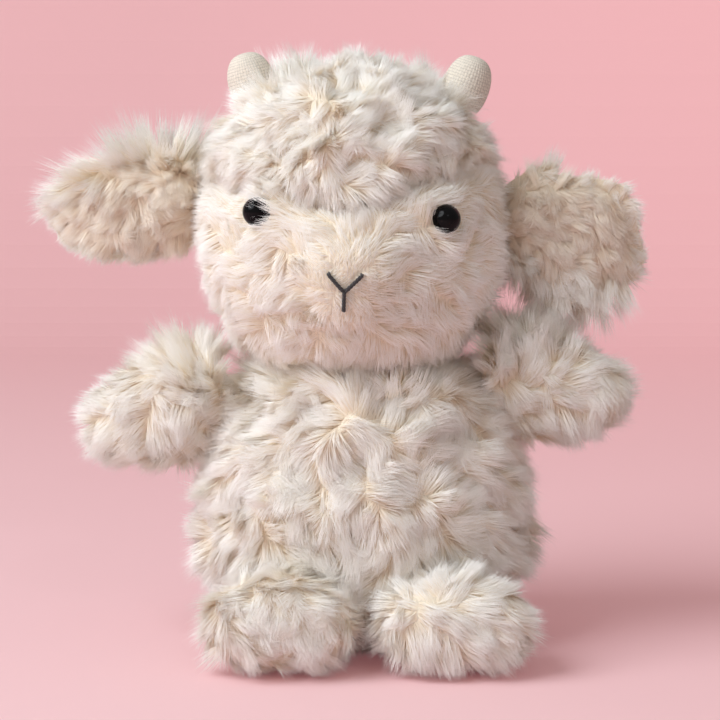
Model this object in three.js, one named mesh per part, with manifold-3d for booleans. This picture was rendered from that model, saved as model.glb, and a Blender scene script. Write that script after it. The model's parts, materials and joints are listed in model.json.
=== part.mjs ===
// A stuffed toy lamb: long-pile plush covers over soft filling, sitting on a weighted base.
// Millimetres, +Z up. The lamb faces -Y, so its own left side is +X.
import * as THREE from 'three';
import { mergeVertices } from 'three/addons/utils/BufferGeometryUtils.js';
import Module from 'manifold-3d';

const wasm = await Module();
wasm.setup();

// Cloth and fits
const PLUSH_THICKNESS = 5;
const CANVAS_THICKNESS = 1.5;
const FIT = 0.3; // gap between pieces that are sewn or seated together
const SEAT_FIT = 0.75; // gap in a seat that turns

// Body: a pear, flat where it sits and domed where the head sits on it
const BODY_WIDTH = 121;
const BODY_DEPTH = 104;
const BODY_HEIGHT = 120; // of the whole pear, before the seat and shoulders are trimmed
const BODY_TAPER = 0.1;
const BODY_FULLNESS = 0.8;
const SEAT_TRIM = 6; // depth of pear that the flat seat takes away
const NECK_HEIGHT = 106;
const SHOULDER_RADIUS = 78;
const NECK_OPENING_RADIUS = 15;
const BEAN_POUCH_HEIGHT = 16;

// Head: a fuller pear with a soft muzzle, cheeks and shallow eye dents
const HEAD_WIDTH = 110;
const HEAD_DEPTH = 100;
const HEAD_HEIGHT = 118;
const HEAD_SINK = 17; // how far the round of the head reaches below the top of the neck
const HEAD_SHIFT = -4; // the head sits a little to the lamb's right of its body
const HEAD_FORWARD = 4;
const HEAD_TILT = 2.2; // degrees, towards the lamb's left
const HEAD_TAPER = 0.05;
const HEAD_FULLNESS = 0.82;
const MUZZLE_SWELL = 6;
const MUZZLE_REACH = 23;
const CHEEK_SWELL = 3;
const CHEEK_REACH = 22;
const CHEEK_SPACING = 77;
const EYE_DENT = 3.5;
const EYE_DENT_REACH = 13;
const BROW_RISE = 9; // above the middle of the head, where the crown's pile hangs over the face
const BROW_SLOPE = 0.2; // how fast the brow rises to both sides
const BROW_DEPTH = 4;
const BROW_WIDTH = 6;

// Tufts: lobes that the long pile of body, crown and back gathers into
const TUFT_SPACING = 27;
const TUFT_HEIGHT = 6; // from the hollows between lobes to their tops
const TUFT_CLEARANCE = 14; // how far the lobes fade out round a limb's root

// Eyes: a bead with a stem, held by a washer behind the cover
const EYE_SPACING = 65;
const EYE_RISE = 3; // above the middle of the head
const EYE_DIAMETER = 10;
const EYE_HEIGHT = 5.5;
const EYE_SINK = 0.8; // depth of the flat that the bead sits on
const STEM_DIAMETER = 4.8;
const STEM_LENGTH = 13;
const WASHER_DIAMETER = 15;
const WASHER_THICKNESS = 2.5;

// Nose and mouth: three bars of thread that meet in a Y
const STITCH_DIAMETER = 1.6;
const NOSE_WIDTH = 10;
const NOSE_SHIFT = -1.2; // towards the lamb's right
const NOSE_RISE = 5;
const MOUTH_LENGTH = 6.2;
const NOSE_DROP = 19; // from the middle of the head to where the three bars meet

// Horns: rounded canvas nubs
const HORN_DIAMETER = 16;
const HORN_HEIGHT = 10.8;
const HORN_SPACING = 70;
const HORN_BACK = 3;
const HORN_ROOT = 9; // how far the uncut nub runs down into the head
const HORN_LEAN = 18; // degrees outwards from upright
const HORN_FULLNESS = 0.78;
const HORN_ROOT_FULLNESS = 0.4;

// Ears: an outer layer and a lining, cupped towards the front
const EAR_LENGTH = 45; // from the joint to the tip
const EAR_ROOT_RADIUS = 22;
const EAR_THICKNESS = 18;
const EAR_FULLNESS = 0.88;
const EAR_CUP = 8;
const EAR_LAYER_GAP = 0.6;
const EAR_LINING_SCALE = 0.86;
const EAR_STANDOFF = 10; // from the side of the head to the joint
const EAR_BACK = 4;
const EAR_RISE = 2; // from the middle of the head
const RIGHT_EAR_DROOP = -9.6; // degrees from level, at rest
const LEFT_EAR_DROOP = -24;
const RIGHT_EAR_DIP = 28; // degrees that an ear can drop from there
const LEFT_EAR_DIP = 10;
const RIGHT_EAR_SWELL = 1; // how much an ear widens past its root
const LEFT_EAR_SWELL = 9;

// Arms
const ARM_LENGTH = 39; // from the joint to the end of the paw
const ARM_ROOT_RADIUS = 21;
const ARM_DEPTH = 38;
const ARM_STANDOFF = 10; // from the side of the body to the joint
const ARM_FORWARD = 5;
const ARM_YAW = 10; // degrees towards the front
const RIGHT_ARM_DROOP = -14.6; // degrees from level, at rest
const LEFT_ARM_DROOP = -9;
const ARM_DIP = 15; // degrees that an arm can drop from there
const RIGHT_SHOULDER_HEIGHT = 83;
const LEFT_SHOULDER_HEIGHT = 91;
const ARM_OPENING_RADIUS = 8;

// Feet: flat soles on the floor, in front of the body
const FOOT_WIDTH = 56;
const FOOT_LENGTH = 18; // from the joint to the toes
const FOOT_ROOT_RADIUS = 18;
const FOOT_GAP = 1.5; // between the two feet
const FEET_SHIFT = 1.5; // towards the lamb's left
const FOOT_FORWARD = 52; // from the middle of the body to the joint
const FOOT_OPENING_RADIUS = 8;
const FOOT_FULLNESS = 0.75;
const SOLE_TRIM = 1; // depth of foot that the flat sole takes away

// Tail
const TAIL_LENGTH = 13; // from the joint to the tip
const TAIL_ROOT_RADIUS = 9;
const TAIL_WIDTH = 24;
const TAIL_HEIGHT = 40; // above the floor
const TAIL_STANDOFF = 5;
const TAIL_OPENING_RADIUS = 2.5;

// Ends of arms, feet and tail
const LIMB_FULLNESS = 0.72;

// Facets
const BODY_DETAIL = 5;
const LIMB_DETAIL = 3;
const INNER_DETAIL = 2;
const SMALL_DETAIL = 1;
const SEAT_DETAIL = 3;
const SHOULDER_DETAIL = 6;
const ROUND_SIDES = 16;
const DOME_STEPS = 4;
const STITCH_STEPS = 4;
const STITCH_SIDES = 10;
const EAR_SIDES = 24;
const EAR_RINGS = 6;
const SKIN_STEP = 0.02; // turn, in radians, between two points that give the slope of a skin

const UP = new THREE.Vector3(0, 0, 1);
const FAR = 400; // side of a block larger than the toy

// Colours
const cream = { color: 0xeee3dd, roughness: 0.95, metalness: 0 };
const lining = { color: 0xd7b8a6, roughness: 0.95, metalness: 0 };
const canvas = { color: 0xe6dccb, roughness: 0.9, metalness: 0 };
const filling = { color: 0xf6f4ee, roughness: 1, metalness: 0 };
const pouchCloth = { color: 0xcfc6b4, roughness: 0.9, metalness: 0 };
const blackBead = { color: 0x0b0a0a, roughness: 0.12, metalness: 0 };
const blackThread = { color: 0x1d1b1b, roughness: 0.8, metalness: 0 };
const whitePlastic = { color: 0xe9e9e6, roughness: 0.5, metalness: 0 };

const radians = THREE.MathUtils.degToRad;
const smoothstep = THREE.MathUtils.smoothstep;
const half = (size) => size / 2;

// Solids: three.js geometry in and out of the boolean library

function plainGeometry(geometry) {
  const plain = geometry.clone();
  plain.deleteAttribute('normal');
  plain.deleteAttribute('uv');
  return mergeVertices(plain);
}

function solidOf(geometry) {
  const plain = plainGeometry(geometry);
  return new wasm.Manifold(new wasm.Mesh({
    numProp: 3,
    vertProperties: plain.attributes.position.array,
    triVerts: new Uint32Array(plain.index.array),
  }));
}

function geometryOf(solid) {
  const mesh = solid.getMesh();
  const geometry = new THREE.BufferGeometry();
  geometry.setAttribute('position', new THREE.BufferAttribute(mesh.vertProperties, 3));
  geometry.setIndex(new THREE.BufferAttribute(mesh.triVerts, 1));
  return geometry;
}

function moved(solid, matrix) {
  const geometry = geometryOf(solid).applyMatrix4(matrix);
  return new wasm.Manifold(new wasm.Mesh({
    numProp: 3,
    vertProperties: geometry.attributes.position.array,
    triVerts: geometry.index.array,
  }));
}

function namedMesh(name, solid, look) {
  const geometry = geometryOf(solid);
  geometry.computeVertexNormals();
  const mesh = new THREE.Mesh(geometry, new THREE.MeshStandardMaterial(look));
  mesh.name = name;
  return mesh;
}

// Forms: a ball whose every point is carried to its place by a function

function reshaped(ballGeometry, place) {
  const form = plainGeometry(ballGeometry);
  const position = form.attributes.position;
  const point = new THREE.Vector3();
  for (let i = 0; i < position.count; i += 1) {
    place(point.fromBufferAttribute(position, i));
    position.setXYZ(i, point.x, point.y, point.z);
  }
  form.computeVertexNormals();
  return form;
}

const reshapedBall = (detail, place) => reshaped(new THREE.IcosahedronGeometry(1, detail), place);

/** A form with its skin moved out by a distance, or in where the distance is negative. */
function grown(form, distance) {
  const position = form.attributes.position;
  const normal = form.attributes.normal;
  const skin = form.clone();
  for (let i = 0; i < position.count; i += 1) {
    skin.attributes.position.setXYZ(
      i,
      position.getX(i) + distance * normal.getX(i),
      position.getY(i) + distance * normal.getY(i),
      position.getZ(i) + distance * normal.getZ(i),
    );
  }
  return solidOf(skin);
}

/** A girth drawn nearer to a full section than a ball's, for forms that stay thick towards their ends. */
const fuller = (girth, fullness) => (girth > 0 ? girth ** (fullness - 1) : 0);

function pearPoint(point, width, depth, height, fullness, taper) {
  const swell = fuller(Math.hypot(point.x, point.y), fullness) * (1 - taper * point.z);
  point.set(point.x * swell * half(width), point.y * swell * half(depth), point.z * half(height));
}

/** How far the tufts lift the skin at a place: rolling lobes, which three pairs of crossed waves give. */
function tuftRise(place) {
  const [x, y, z] = place.toArray().map((length) => (2 * Math.PI * length) / TUFT_SPACING);
  const waves = Math.sin(x) * Math.cos(y) + Math.sin(y) * Math.cos(z) + Math.sin(z) * Math.cos(x);
  return (half(TUFT_HEIGHT) * waves) / 1.5;
}

/** How much of the tufts shows at a place: none at the roots of limbs, all beyond their clearance. */
function tuftShare(point, roots) {
  return roots.reduce((share, root) => {
    const gap = point.distanceTo(root.position) - root.radius;
    return share * smoothstep(gap, 0, TUFT_CLEARANCE);
  }, 1);
}

/** The root of a limb, a ball that is round about the limb's hinge, which is its own Y axis. */
function rootPoint(point, limb) {
  const round = limb.rootRadius * fuller(Math.hypot(point.x, point.z), limb.fullness);
  point.set(point.x * round, point.y * half(limb.depth), point.z * round);
}

const seatForm = (limb, detail) => reshapedBall(detail, (point) => rootPoint(point, limb));

/** A limb about its joint: half of its root, which turns in its seat, drawn out along +X to a blunt end. */
function limbPoint(point, limb) {
  const outer = point.x > 0;
  const blunt = fuller(Math.hypot(point.y, point.z), LIMB_FULLNESS);
  rootPoint(point, limb);
  if (outer) {
    point.set((point.x * limb.length) / limb.rootRadius, point.y * blunt, point.z * blunt);
  }
}

/** The gap round a limb's root in a larger piece whose skin is moved by a distance. */
const seatGap = (distance) => SEAT_FIT - distance;

function block(width, depth, height, x, y, z) {
  return solidOf(new THREE.BoxGeometry(width, depth, height).translate(x, y, z));
}

/** Everything above a level. */
const above = (level) => block(FAR, FAR, FAR, 0, 0, level + half(FAR));

/** A round bar along Z between two levels. */
function bar(radius, low, high) {
  const rod = new THREE.CylinderGeometry(radius, radius, high - low, ROUND_SIDES);
  return rod.rotateX(half(Math.PI)).translate(0, 0, half(low + high));
}

/** A round bar that opens a limb's cover at its root. */
function rootOpening(limb, radius) {
  const rod = bar(radius, -limb.rootRadius - PLUSH_THICKNESS, 0);
  return solidOf(rod.rotateY(half(Math.PI)));
}

function ball(radius, detail, centre) {
  return solidOf(new THREE.IcosahedronGeometry(radius, detail).translate(centre.x, centre.y, centre.z));
}

/** A frame at a joint: +X out along the limb, +Y along the hinge. */
function jointFrame(position, outward, hinge) {
  const group = new THREE.Group();
  const third = new THREE.Vector3().crossVectors(outward, hinge);
  group.quaternion.setFromRotationMatrix(new THREE.Matrix4().makeBasis(outward, hinge, third));
  group.position.copy(position);
  group.updateMatrix();
  return group;
}

/** A frame for a limb that stands out sideways, drooping and turned to the front by given degrees. */
function sideFrame(side, position, yaw, droop) {
  const level = new THREE.Vector3(side * Math.cos(radians(yaw)), -Math.sin(radians(yaw)), 0);
  const hinge = new THREE.Vector3(side * Math.sin(radians(yaw)), Math.cos(radians(yaw)), 0);
  const outward = level.multiplyScalar(Math.cos(radians(droop)));
  outward.addScaledVector(UP, Math.sin(radians(droop)));
  return jointFrame(position, outward, hinge);
}

/** A solid, in its own frame, cut by the larger piece that it is sewn to. */
function cutBy(larger, matrix, solid) {
  return solid.subtract(moved(larger, matrix.clone().invert()));
}

/** Where a limb's frame gets to when it drops about its hinge by given degrees. */
function dropped(side, frame, dip) {
  return frame.matrix.clone().multiply(new THREE.Matrix4().makeRotationY(side * radians(dip)));
}

/** The half width of the body's pear at a height. */
function bodyReach(height, width) {
  const middle = half(BODY_HEIGHT) - SEAT_TRIM;
  const along = (height - middle) / half(BODY_HEIGHT);
  const girth = Math.sqrt(1 - along * along);
  return half(width) * girth * fuller(girth, BODY_FULLNESS) * (1 - BODY_TAPER * along);
}

// Where the limbs join the body
const neck = new THREE.Vector3(HEAD_SHIFT, 0, NECK_HEIGHT);
const shoulderCentre = neck.clone().addScaledVector(UP, -SHOULDER_RADIUS);

const armSizes = { length: ARM_LENGTH, rootRadius: ARM_ROOT_RADIUS, depth: ARM_DEPTH, fullness: 1 };
const tailSizes = { length: TAIL_LENGTH, rootRadius: TAIL_ROOT_RADIUS, depth: TAIL_WIDTH, fullness: 1 };
const footSizes = {
  length: FOOT_LENGTH,
  rootRadius: FOOT_ROOT_RADIUS,
  depth: FOOT_WIDTH,
  fullness: FOOT_FULLNESS,
};

function armLimb(side, shoulderHeight, droop) {
  const reach = bodyReach(shoulderHeight, BODY_WIDTH) + ARM_STANDOFF;
  const position = new THREE.Vector3(side * reach, -ARM_FORWARD, shoulderHeight);
  const frame = sideFrame(side, position, ARM_YAW, droop);
  return {
    sizes: armSizes,
    frame,
    places: [frame.matrix, dropped(side, frame, ARM_DIP)],
    opening: ARM_OPENING_RADIUS,
    detail: LIMB_DETAIL,
    floor: null,
  };
}

function footLimb(side) {
  const across = FEET_SHIFT + side * half(FOOT_GAP + FOOT_WIDTH);
  const height = FOOT_ROOT_RADIUS - SOLE_TRIM;
  const position = new THREE.Vector3(across, -FOOT_FORWARD, height);
  const frame = jointFrame(position, new THREE.Vector3(0, -1, 0), new THREE.Vector3(1, 0, 0));
  return {
    sizes: footSizes,
    frame,
    places: [frame.matrix],
    opening: FOOT_OPENING_RADIUS,
    detail: LIMB_DETAIL,
    floor: -height,
  };
}

function tailLimb() {
  const reach = bodyReach(TAIL_HEIGHT, BODY_DEPTH) + TAIL_STANDOFF;
  const position = new THREE.Vector3(0, reach, TAIL_HEIGHT);
  const frame = jointFrame(position, new THREE.Vector3(0, 1, 0), new THREE.Vector3(0, 0, 1));
  return {
    sizes: tailSizes,
    frame,
    places: [frame.matrix],
    opening: TAIL_OPENING_RADIUS,
    detail: INNER_DETAIL,
    floor: null,
  };
}

const limbs = {
  left_arm: armLimb(1, LEFT_SHOULDER_HEIGHT, LEFT_ARM_DROOP),
  right_arm: armLimb(-1, RIGHT_SHOULDER_HEIGHT, RIGHT_ARM_DROOP),
  left_foot: footLimb(1),
  right_foot: footLimb(-1),
  tail: tailLimb(),
};

// Body
const bodyMiddle = half(BODY_HEIGHT) - SEAT_TRIM;

const bodyRoots = Object.values(limbs).map((limb) => ({
  position: limb.frame.position,
  radius: Math.max(limb.sizes.rootRadius, half(limb.sizes.depth)),
}));

function bodyForm(detail, tufted) {
  return reshapedBall(detail, (point) => {
    const direction = point.clone();
    pearPoint(point, BODY_WIDTH, BODY_DEPTH, BODY_HEIGHT, BODY_FULLNESS, BODY_TAPER);
    const rise = tufted ? tuftRise(point) : 0;
    point.z += bodyMiddle;
    point.addScaledVector(direction, rise * tuftShare(point, bodyRoots));
  });
}

/** The body's whole volume, with its skin moved out or in by a distance. */
function bodyBlock(distance, detail, seatDetail) {
  let solid = grown(bodyForm(detail, detail === BODY_DETAIL), distance);
  solid = solid.intersect(ball(SHOULDER_RADIUS + distance, SHOULDER_DETAIL, shoulderCentre));
  solid = solid.intersect(above(-distance));
  for (const limb of Object.values(limbs)) {
    const seat = grown(seatForm(limb.sizes, seatDetail), seatGap(distance));
    solid = solid.subtract(moved(seat, limb.frame.matrix));
  }
  return solid;
}

const neckReach = NECK_OPENING_RADIUS + PLUSH_THICKNESS;
const neckOpening = solidOf(
  bar(NECK_OPENING_RADIUS, -neckReach, neckReach).translate(neck.x, neck.y, neck.z),
);
const bodyCutter = bodyBlock(FIT, BODY_DETAIL, SEAT_DETAIL);
const bodyHollow = bodyBlock(-PLUSH_THICKNESS, INNER_DETAIL, SMALL_DETAIL);
const bodyInside = bodyBlock(-PLUSH_THICKNESS - FIT, INNER_DETAIL, SMALL_DETAIL);
const bodyCover = bodyBlock(0, BODY_DETAIL, SEAT_DETAIL).subtract(bodyHollow).subtract(neckOpening);
const pouchTop = PLUSH_THICKNESS + FIT + BEAN_POUCH_HEIGHT;

const toy = new THREE.Group();
toy.add(
  namedMesh('body_cover', bodyCover, cream),
  namedMesh('body_filling', bodyInside.intersect(above(pouchTop + FIT)), filling),
  namedMesh('bean_pouch', bodyInside.subtract(above(pouchTop)), pouchCloth),
);

// Arms, feet and tail: a cover cut by the body at each place it swings to, open at its root, over its filling
function addLimb(name, limb) {
  const form = (detail) => reshapedBall(detail, (point) => limbPoint(point, limb.sizes));
  const blockOf = (distance, detail) => {
    let whole = grown(form(detail), distance);
    for (const place of limb.places) {
      whole = cutBy(bodyCutter, place, whole);
    }
    return limb.floor === null ? whole : whole.intersect(above(limb.floor - distance));
  };
  const hollow = blockOf(-PLUSH_THICKNESS, INNER_DETAIL).add(rootOpening(limb.sizes, limb.opening));
  limb.frame.add(
    namedMesh(`${name}_cover`, blockOf(0, limb.detail).subtract(hollow), cream),
    namedMesh(`${name}_filling`, blockOf(-PLUSH_THICKNESS - FIT, INNER_DETAIL), filling),
  );
  toy.add(limb.frame);
}

for (const [name, limb] of Object.entries(limbs)) {
  addLimb(name, limb);
}

// Head
const head = new THREE.Group();
head.position.set(HEAD_SHIFT, -HEAD_FORWARD, NECK_HEIGHT - HEAD_SINK + half(HEAD_HEIGHT));
head.rotation.y = radians(HEAD_TILT);
head.updateMatrix();
const intoHead = head.matrix.clone().invert();
const shoulderInHead = shoulderCentre.clone().applyMatrix4(intoHead);

/** The direction on the ball that a place on the lamb's face, across and up from its middle, lies in. */
function faceDirection(across, up) {
  const x = across / half(HEAD_WIDTH);
  const z = up / half(HEAD_HEIGHT);
  return new THREE.Vector3(x, -Math.sqrt(1 - x * x - z * z), z);
}

const muzzleDirection = faceDirection(0, -NOSE_DROP);
const cheekDirections = [-1, 1].map((side) => faceDirection(side * half(CHEEK_SPACING), -NOSE_DROP));
const eyeDirections = [-1, 1].map((side) => faceDirection(side * half(EYE_SPACING), EYE_RISE));
const earReach = half(HEAD_WIDTH) + EAR_STANDOFF;
const earPosition = (side) => new THREE.Vector3(side * earReach, EAR_BACK, EAR_RISE);
const headRoots = [-1, 1].map((side) => ({ position: earPosition(side), radius: EAR_ROOT_RADIUS }));

/** How strongly a swelling about one direction is felt in another: 1 at its middle, fading over its reach. */
function hump(direction, middle, reach) {
  const away = (direction.distanceTo(middle) * half(HEAD_WIDTH)) / reach;
  return Math.exp(-away * away);
}

/** How far a direction lies above the brow. */
function aboveBrow(direction) {
  return direction.z * half(HEAD_HEIGHT) - BROW_RISE - BROW_SLOPE * Math.abs(direction.x) * half(HEAD_WIDTH);
}

/** The fold under the crown's pile, across the front of the head only. */
function browFold(direction) {
  const away = aboveBrow(direction) / BROW_WIDTH;
  return BROW_DEPTH * Math.exp(-away * away) * smoothstep(-direction.y, 0.3, 0.7);
}

/** Tufts of the crown and the back of the head; the face and the nape are smooth. */
function headTuftRise(direction, place) {
  const crown = smoothstep(aboveBrow(direction), 2, 12);
  const back = smoothstep(direction.y, -0.1, 0.4) * smoothstep(direction.z, -0.7, -0.3);
  return tuftRise(place) * tuftShare(place, headRoots) * Math.max(crown, back);
}

/** A place on the head's skin for a direction from its middle, even or with its fold and tufts. */
function headPoint(point, tufted = true) {
  const direction = point.clone();
  let swell = MUZZLE_SWELL * hump(direction, muzzleDirection, MUZZLE_REACH);
  for (const cheek of cheekDirections) {
    swell += CHEEK_SWELL * hump(direction, cheek, CHEEK_REACH);
  }
  for (const eye of eyeDirections) {
    swell -= EYE_DENT * hump(direction, eye, EYE_DENT_REACH);
  }
  pearPoint(point, HEAD_WIDTH, HEAD_DEPTH, HEAD_HEIGHT, HEAD_FULLNESS, HEAD_TAPER);
  if (tufted) {
    swell += headTuftRise(direction, point) - browFold(direction);
  }
  point.addScaledVector(direction, swell);
}

const headForm = (detail, tufted) => reshapedBall(detail, (point) => headPoint(point, tufted));

/** Which way the head's skin faces in a direction from its middle. */
function headNormal(direction) {
  const side = new THREE.Vector3().crossVectors(UP, direction).normalize();
  const rise = new THREE.Vector3().crossVectors(direction, side);
  const slopes = [side, rise].map((way) => {
    const ends = [SKIN_STEP, -SKIN_STEP].map((turn) => direction.clone().addScaledVector(way, turn).normalize());
    ends.forEach((end) => headPoint(end));
    return ends[0].sub(ends[1]);
  });
  return slopes[0].cross(slopes[1]).normalize();
}

/** A frame on the head's skin: +Z out of it, or leaning where a lean is given. */
function skinFrame(direction, outward, sink) {
  const group = new THREE.Group();
  headPoint(group.position.copy(direction));
  group.position.addScaledVector(outward, -sink);
  group.quaternion.setFromUnitVectors(UP, outward);
  group.updateMatrix();
  return group;
}

// Where the ears join the head
const earSizes = { rootRadius: EAR_ROOT_RADIUS, depth: EAR_THICKNESS, fullness: 1 };

function earJoint(side, droop, dip, swell) {
  const frame = sideFrame(side, earPosition(side), 0, droop);
  return {
    swell,
    frame,
    places: [frame.matrix, dropped(side, frame, dip)],
  };
}

const ears = {
  left_ear: earJoint(1, LEFT_EAR_DROOP, LEFT_EAR_DIP, LEFT_EAR_SWELL),
  right_ear: earJoint(-1, RIGHT_EAR_DROOP, RIGHT_EAR_DIP, RIGHT_EAR_SWELL),
};

/** The head's whole volume, with its skin moved out or in by a distance. */
function headBlock(distance, detail, seatDetail) {
  let solid = grown(headForm(detail, detail === BODY_DETAIL), distance);
  solid = solid.subtract(ball(SHOULDER_RADIUS + seatGap(distance), SHOULDER_DETAIL, shoulderInHead));
  for (const ear of Object.values(ears)) {
    const seat = grown(seatForm(earSizes, seatDetail), seatGap(distance));
    solid = solid.subtract(moved(seat, ear.frame.matrix));
  }
  return solid;
}

const headCutter = headBlock(FIT, BODY_DETAIL, SEAT_DETAIL);
const headHollow = headBlock(-PLUSH_THICKNESS, INNER_DETAIL, SMALL_DETAIL);
let headCover = headBlock(0, BODY_DETAIL, SEAT_DETAIL).subtract(headHollow);
headCover = headCover.subtract(moved(neckOpening, intoHead));
let headFilling = headBlock(-PLUSH_THICKNESS - FIT, INNER_DETAIL, SMALL_DETAIL);

// Eyes, with the flat each bead sits on, its stem hole and the room for its washer
function latheAbout(points, sides) {
  const outline = points.map(([radius, level]) => new THREE.Vector2(radius, level));
  return solidOf(new THREE.LatheGeometry(outline, sides).rotateX(half(Math.PI)));
}

function beadOutline() {
  const dome = Array.from({ length: DOME_STEPS + 1 }, (_, i) => {
    const angle = (half(Math.PI) * i) / DOME_STEPS;
    return [half(EYE_DIAMETER) * Math.cos(angle), EYE_HEIGHT * Math.sin(angle)];
  });
  dome[DOME_STEPS][0] = 0;
  return [[0, -STEM_LENGTH], [half(STEM_DIAMETER), -STEM_LENGTH], [half(STEM_DIAMETER), 0], ...dome];
}

function washerOutline() {
  const bore = half(STEM_DIAMETER) + FIT;
  const rim = half(WASHER_DIAMETER);
  const back = -PLUSH_THICKNESS - WASHER_THICKNESS;
  return [[bore, back], [rim, back], [rim, -PLUSH_THICKNESS], [bore, -PLUSH_THICKNESS], [bore, back]];
}

function addEye(name, direction) {
  const frame = skinFrame(direction, headNormal(direction), EYE_SINK);
  const flat = bar(half(EYE_DIAMETER) + FIT, -FIT, EYE_HEIGHT);
  const hole = bar(half(STEM_DIAMETER) + FIT, -STEM_LENGTH, 0);
  const washerRoom = bar(half(WASHER_DIAMETER) + FIT, -STEM_LENGTH - FIT, FIT - PLUSH_THICKNESS);
  const fillingRoom = bar(half(WASHER_DIAMETER) + 2 * FIT, -STEM_LENGTH - FIT, 0);
  for (const cut of [flat, hole, washerRoom]) {
    headCover = headCover.subtract(moved(solidOf(cut), frame.matrix));
  }
  headFilling = headFilling.subtract(moved(solidOf(fillingRoom), frame.matrix));
  frame.add(
    namedMesh(`${name}_eye`, latheAbout(beadOutline(), ROUND_SIDES), blackBead),
    namedMesh(`${name}_eye_washer`, latheAbout(washerOutline(), ROUND_SIDES), whitePlastic),
  );
  head.add(frame);
}

addEye('right', eyeDirections[0]);
addEye('left', eyeDirections[1]);
head.add(namedMesh('head_cover', headCover, cream), namedMesh('head_filling', headFilling, filling));

// Nose and mouth: bars of thread that lie on the face
function addStitch(name, from, to) {
  const places = [0, 0.5, 1].map((share) => {
    const direction = faceDirection(
      THREE.MathUtils.lerp(from[0], to[0], share) + NOSE_SHIFT,
      THREE.MathUtils.lerp(from[1], to[1], share),
    );
    const outward = headNormal(direction);
    headPoint(direction);
    return direction.addScaledVector(outward, half(half(STITCH_DIAMETER)));
  });
  const section = new THREE.Shape().absarc(0, 0, half(STITCH_DIAMETER), 0, 2 * Math.PI);
  const thread = new THREE.ExtrudeGeometry(section, {
    steps: STITCH_STEPS,
    curveSegments: half(STITCH_SIDES),
    extrudePath: new THREE.CatmullRomCurve3(places),
  });
  head.add(namedMesh(name, solidOf(thread).subtract(headCutter), blackThread));
}

const besideMeeting = half(STITCH_DIAMETER) + FIT;
const noseEnd = half(NOSE_WIDTH);
for (const [name, side] of [['nose_stitch_left', 1], ['nose_stitch_right', -1]]) {
  addStitch(name, [side * noseEnd, NOSE_RISE - NOSE_DROP], [side * besideMeeting, besideMeeting - NOSE_DROP]);
}
addStitch('mouth_stitch', [0, -NOSE_DROP], [0, -NOSE_DROP - MOUTH_LENGTH]);

// Horns: a canvas nub over its filling, open where it is sewn to the head
function hornForm(detail) {
  return reshapedBall(detail, (point) => {
    const tip = point.z > 0;
    const girth = Math.hypot(point.x, point.y);
    const radius = half(HORN_DIAMETER) * fuller(girth, tip ? HORN_FULLNESS : HORN_ROOT_FULLNESS);
    point.set(point.x * radius, point.y * radius, point.z * (tip ? HORN_HEIGHT : HORN_ROOT));
  });
}

function addHorn(name, side) {
  const x = half(HORN_SPACING) / half(HEAD_WIDTH);
  const y = HORN_BACK / half(HEAD_DEPTH);
  const direction = new THREE.Vector3(side * x, y, Math.sqrt(1 - x * x - y * y));
  const lean = radians(HORN_LEAN);
  const frame = skinFrame(direction, new THREE.Vector3(side * Math.sin(lean), 0, Math.cos(lean)), 0);
  const form = hornForm(INNER_DETAIL);
  const cover = cutBy(headCutter, frame.matrix, grown(form, 0).subtract(grown(form, -CANVAS_THICKNESS)));
  const fill = cutBy(headCutter, frame.matrix, grown(form, -CANVAS_THICKNESS - FIT));
  frame.add(
    namedMesh(`${name}_horn_cover`, cover, canvas),
    namedMesh(`${name}_horn_filling`, fill, filling),
  );
  head.add(frame);
}

addHorn('left', 1);
addHorn('right', -1);

// Ears: two layers that meet on one cupped sheet
function earLayer(ear, facing, scale) {
  return reshaped(new THREE.SphereGeometry(1, EAR_SIDES, EAR_RINGS), (point) => {
    const outer = point.x > 0;
    const blunt = outer ? fuller(Math.hypot(point.y, point.z), EAR_FULLNESS) : 1;
    const swell = outer ? ear.swell * Math.sin(Math.PI * point.x) ** 2 : 0;
    const along = point.x * scale * (outer ? EAR_LENGTH : EAR_ROOT_RADIUS);
    const across = point.z * scale * blunt * (EAR_ROOT_RADIUS + swell);
    const curl = THREE.MathUtils.smoothstep(along, 0, half(EAR_LENGTH));
    const sheet = -EAR_CUP * curl * (across / (EAR_ROOT_RADIUS + ear.swell)) ** 2;
    const pile = Math.max(facing * point.y, 0) * blunt * half(EAR_THICKNESS);
    point.set(along, sheet + facing * (pile + half(EAR_LAYER_GAP)), across);
  });
}

for (const [name, ear] of Object.entries(ears)) {
  const layers = [['outer', 1, 1, cream], ['lining', -1, EAR_LINING_SCALE, lining]];
  for (const [layer, facing, scale, look] of layers) {
    let solid = solidOf(earLayer(ear, facing, scale));
    for (const place of ear.places) {
      solid = cutBy(headCutter, place, solid);
    }
    ear.frame.add(namedMesh(`${name}_${layer}`, solid, look));
  }
  head.add(ear.frame);
}

toy.add(head);

// The origin is on the floor, under the middle of the toy's outline
const outline = new THREE.Box3().setFromObject(toy, true);
const middle = outline.getCenter(new THREE.Vector3());
toy.position.set(-middle.x, -middle.y, -outline.min.z);
toy.updateMatrixWorld(true);

export default toy;
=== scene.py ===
"""Dresses a stuffed toy lamb: tousled pile on padded skins, woven horns, bead eyes and a stitched nose.

Lengths in the script are millimetres unless a name or a property says otherwise; the meshes are in metres.
"""
import json
import math

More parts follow.
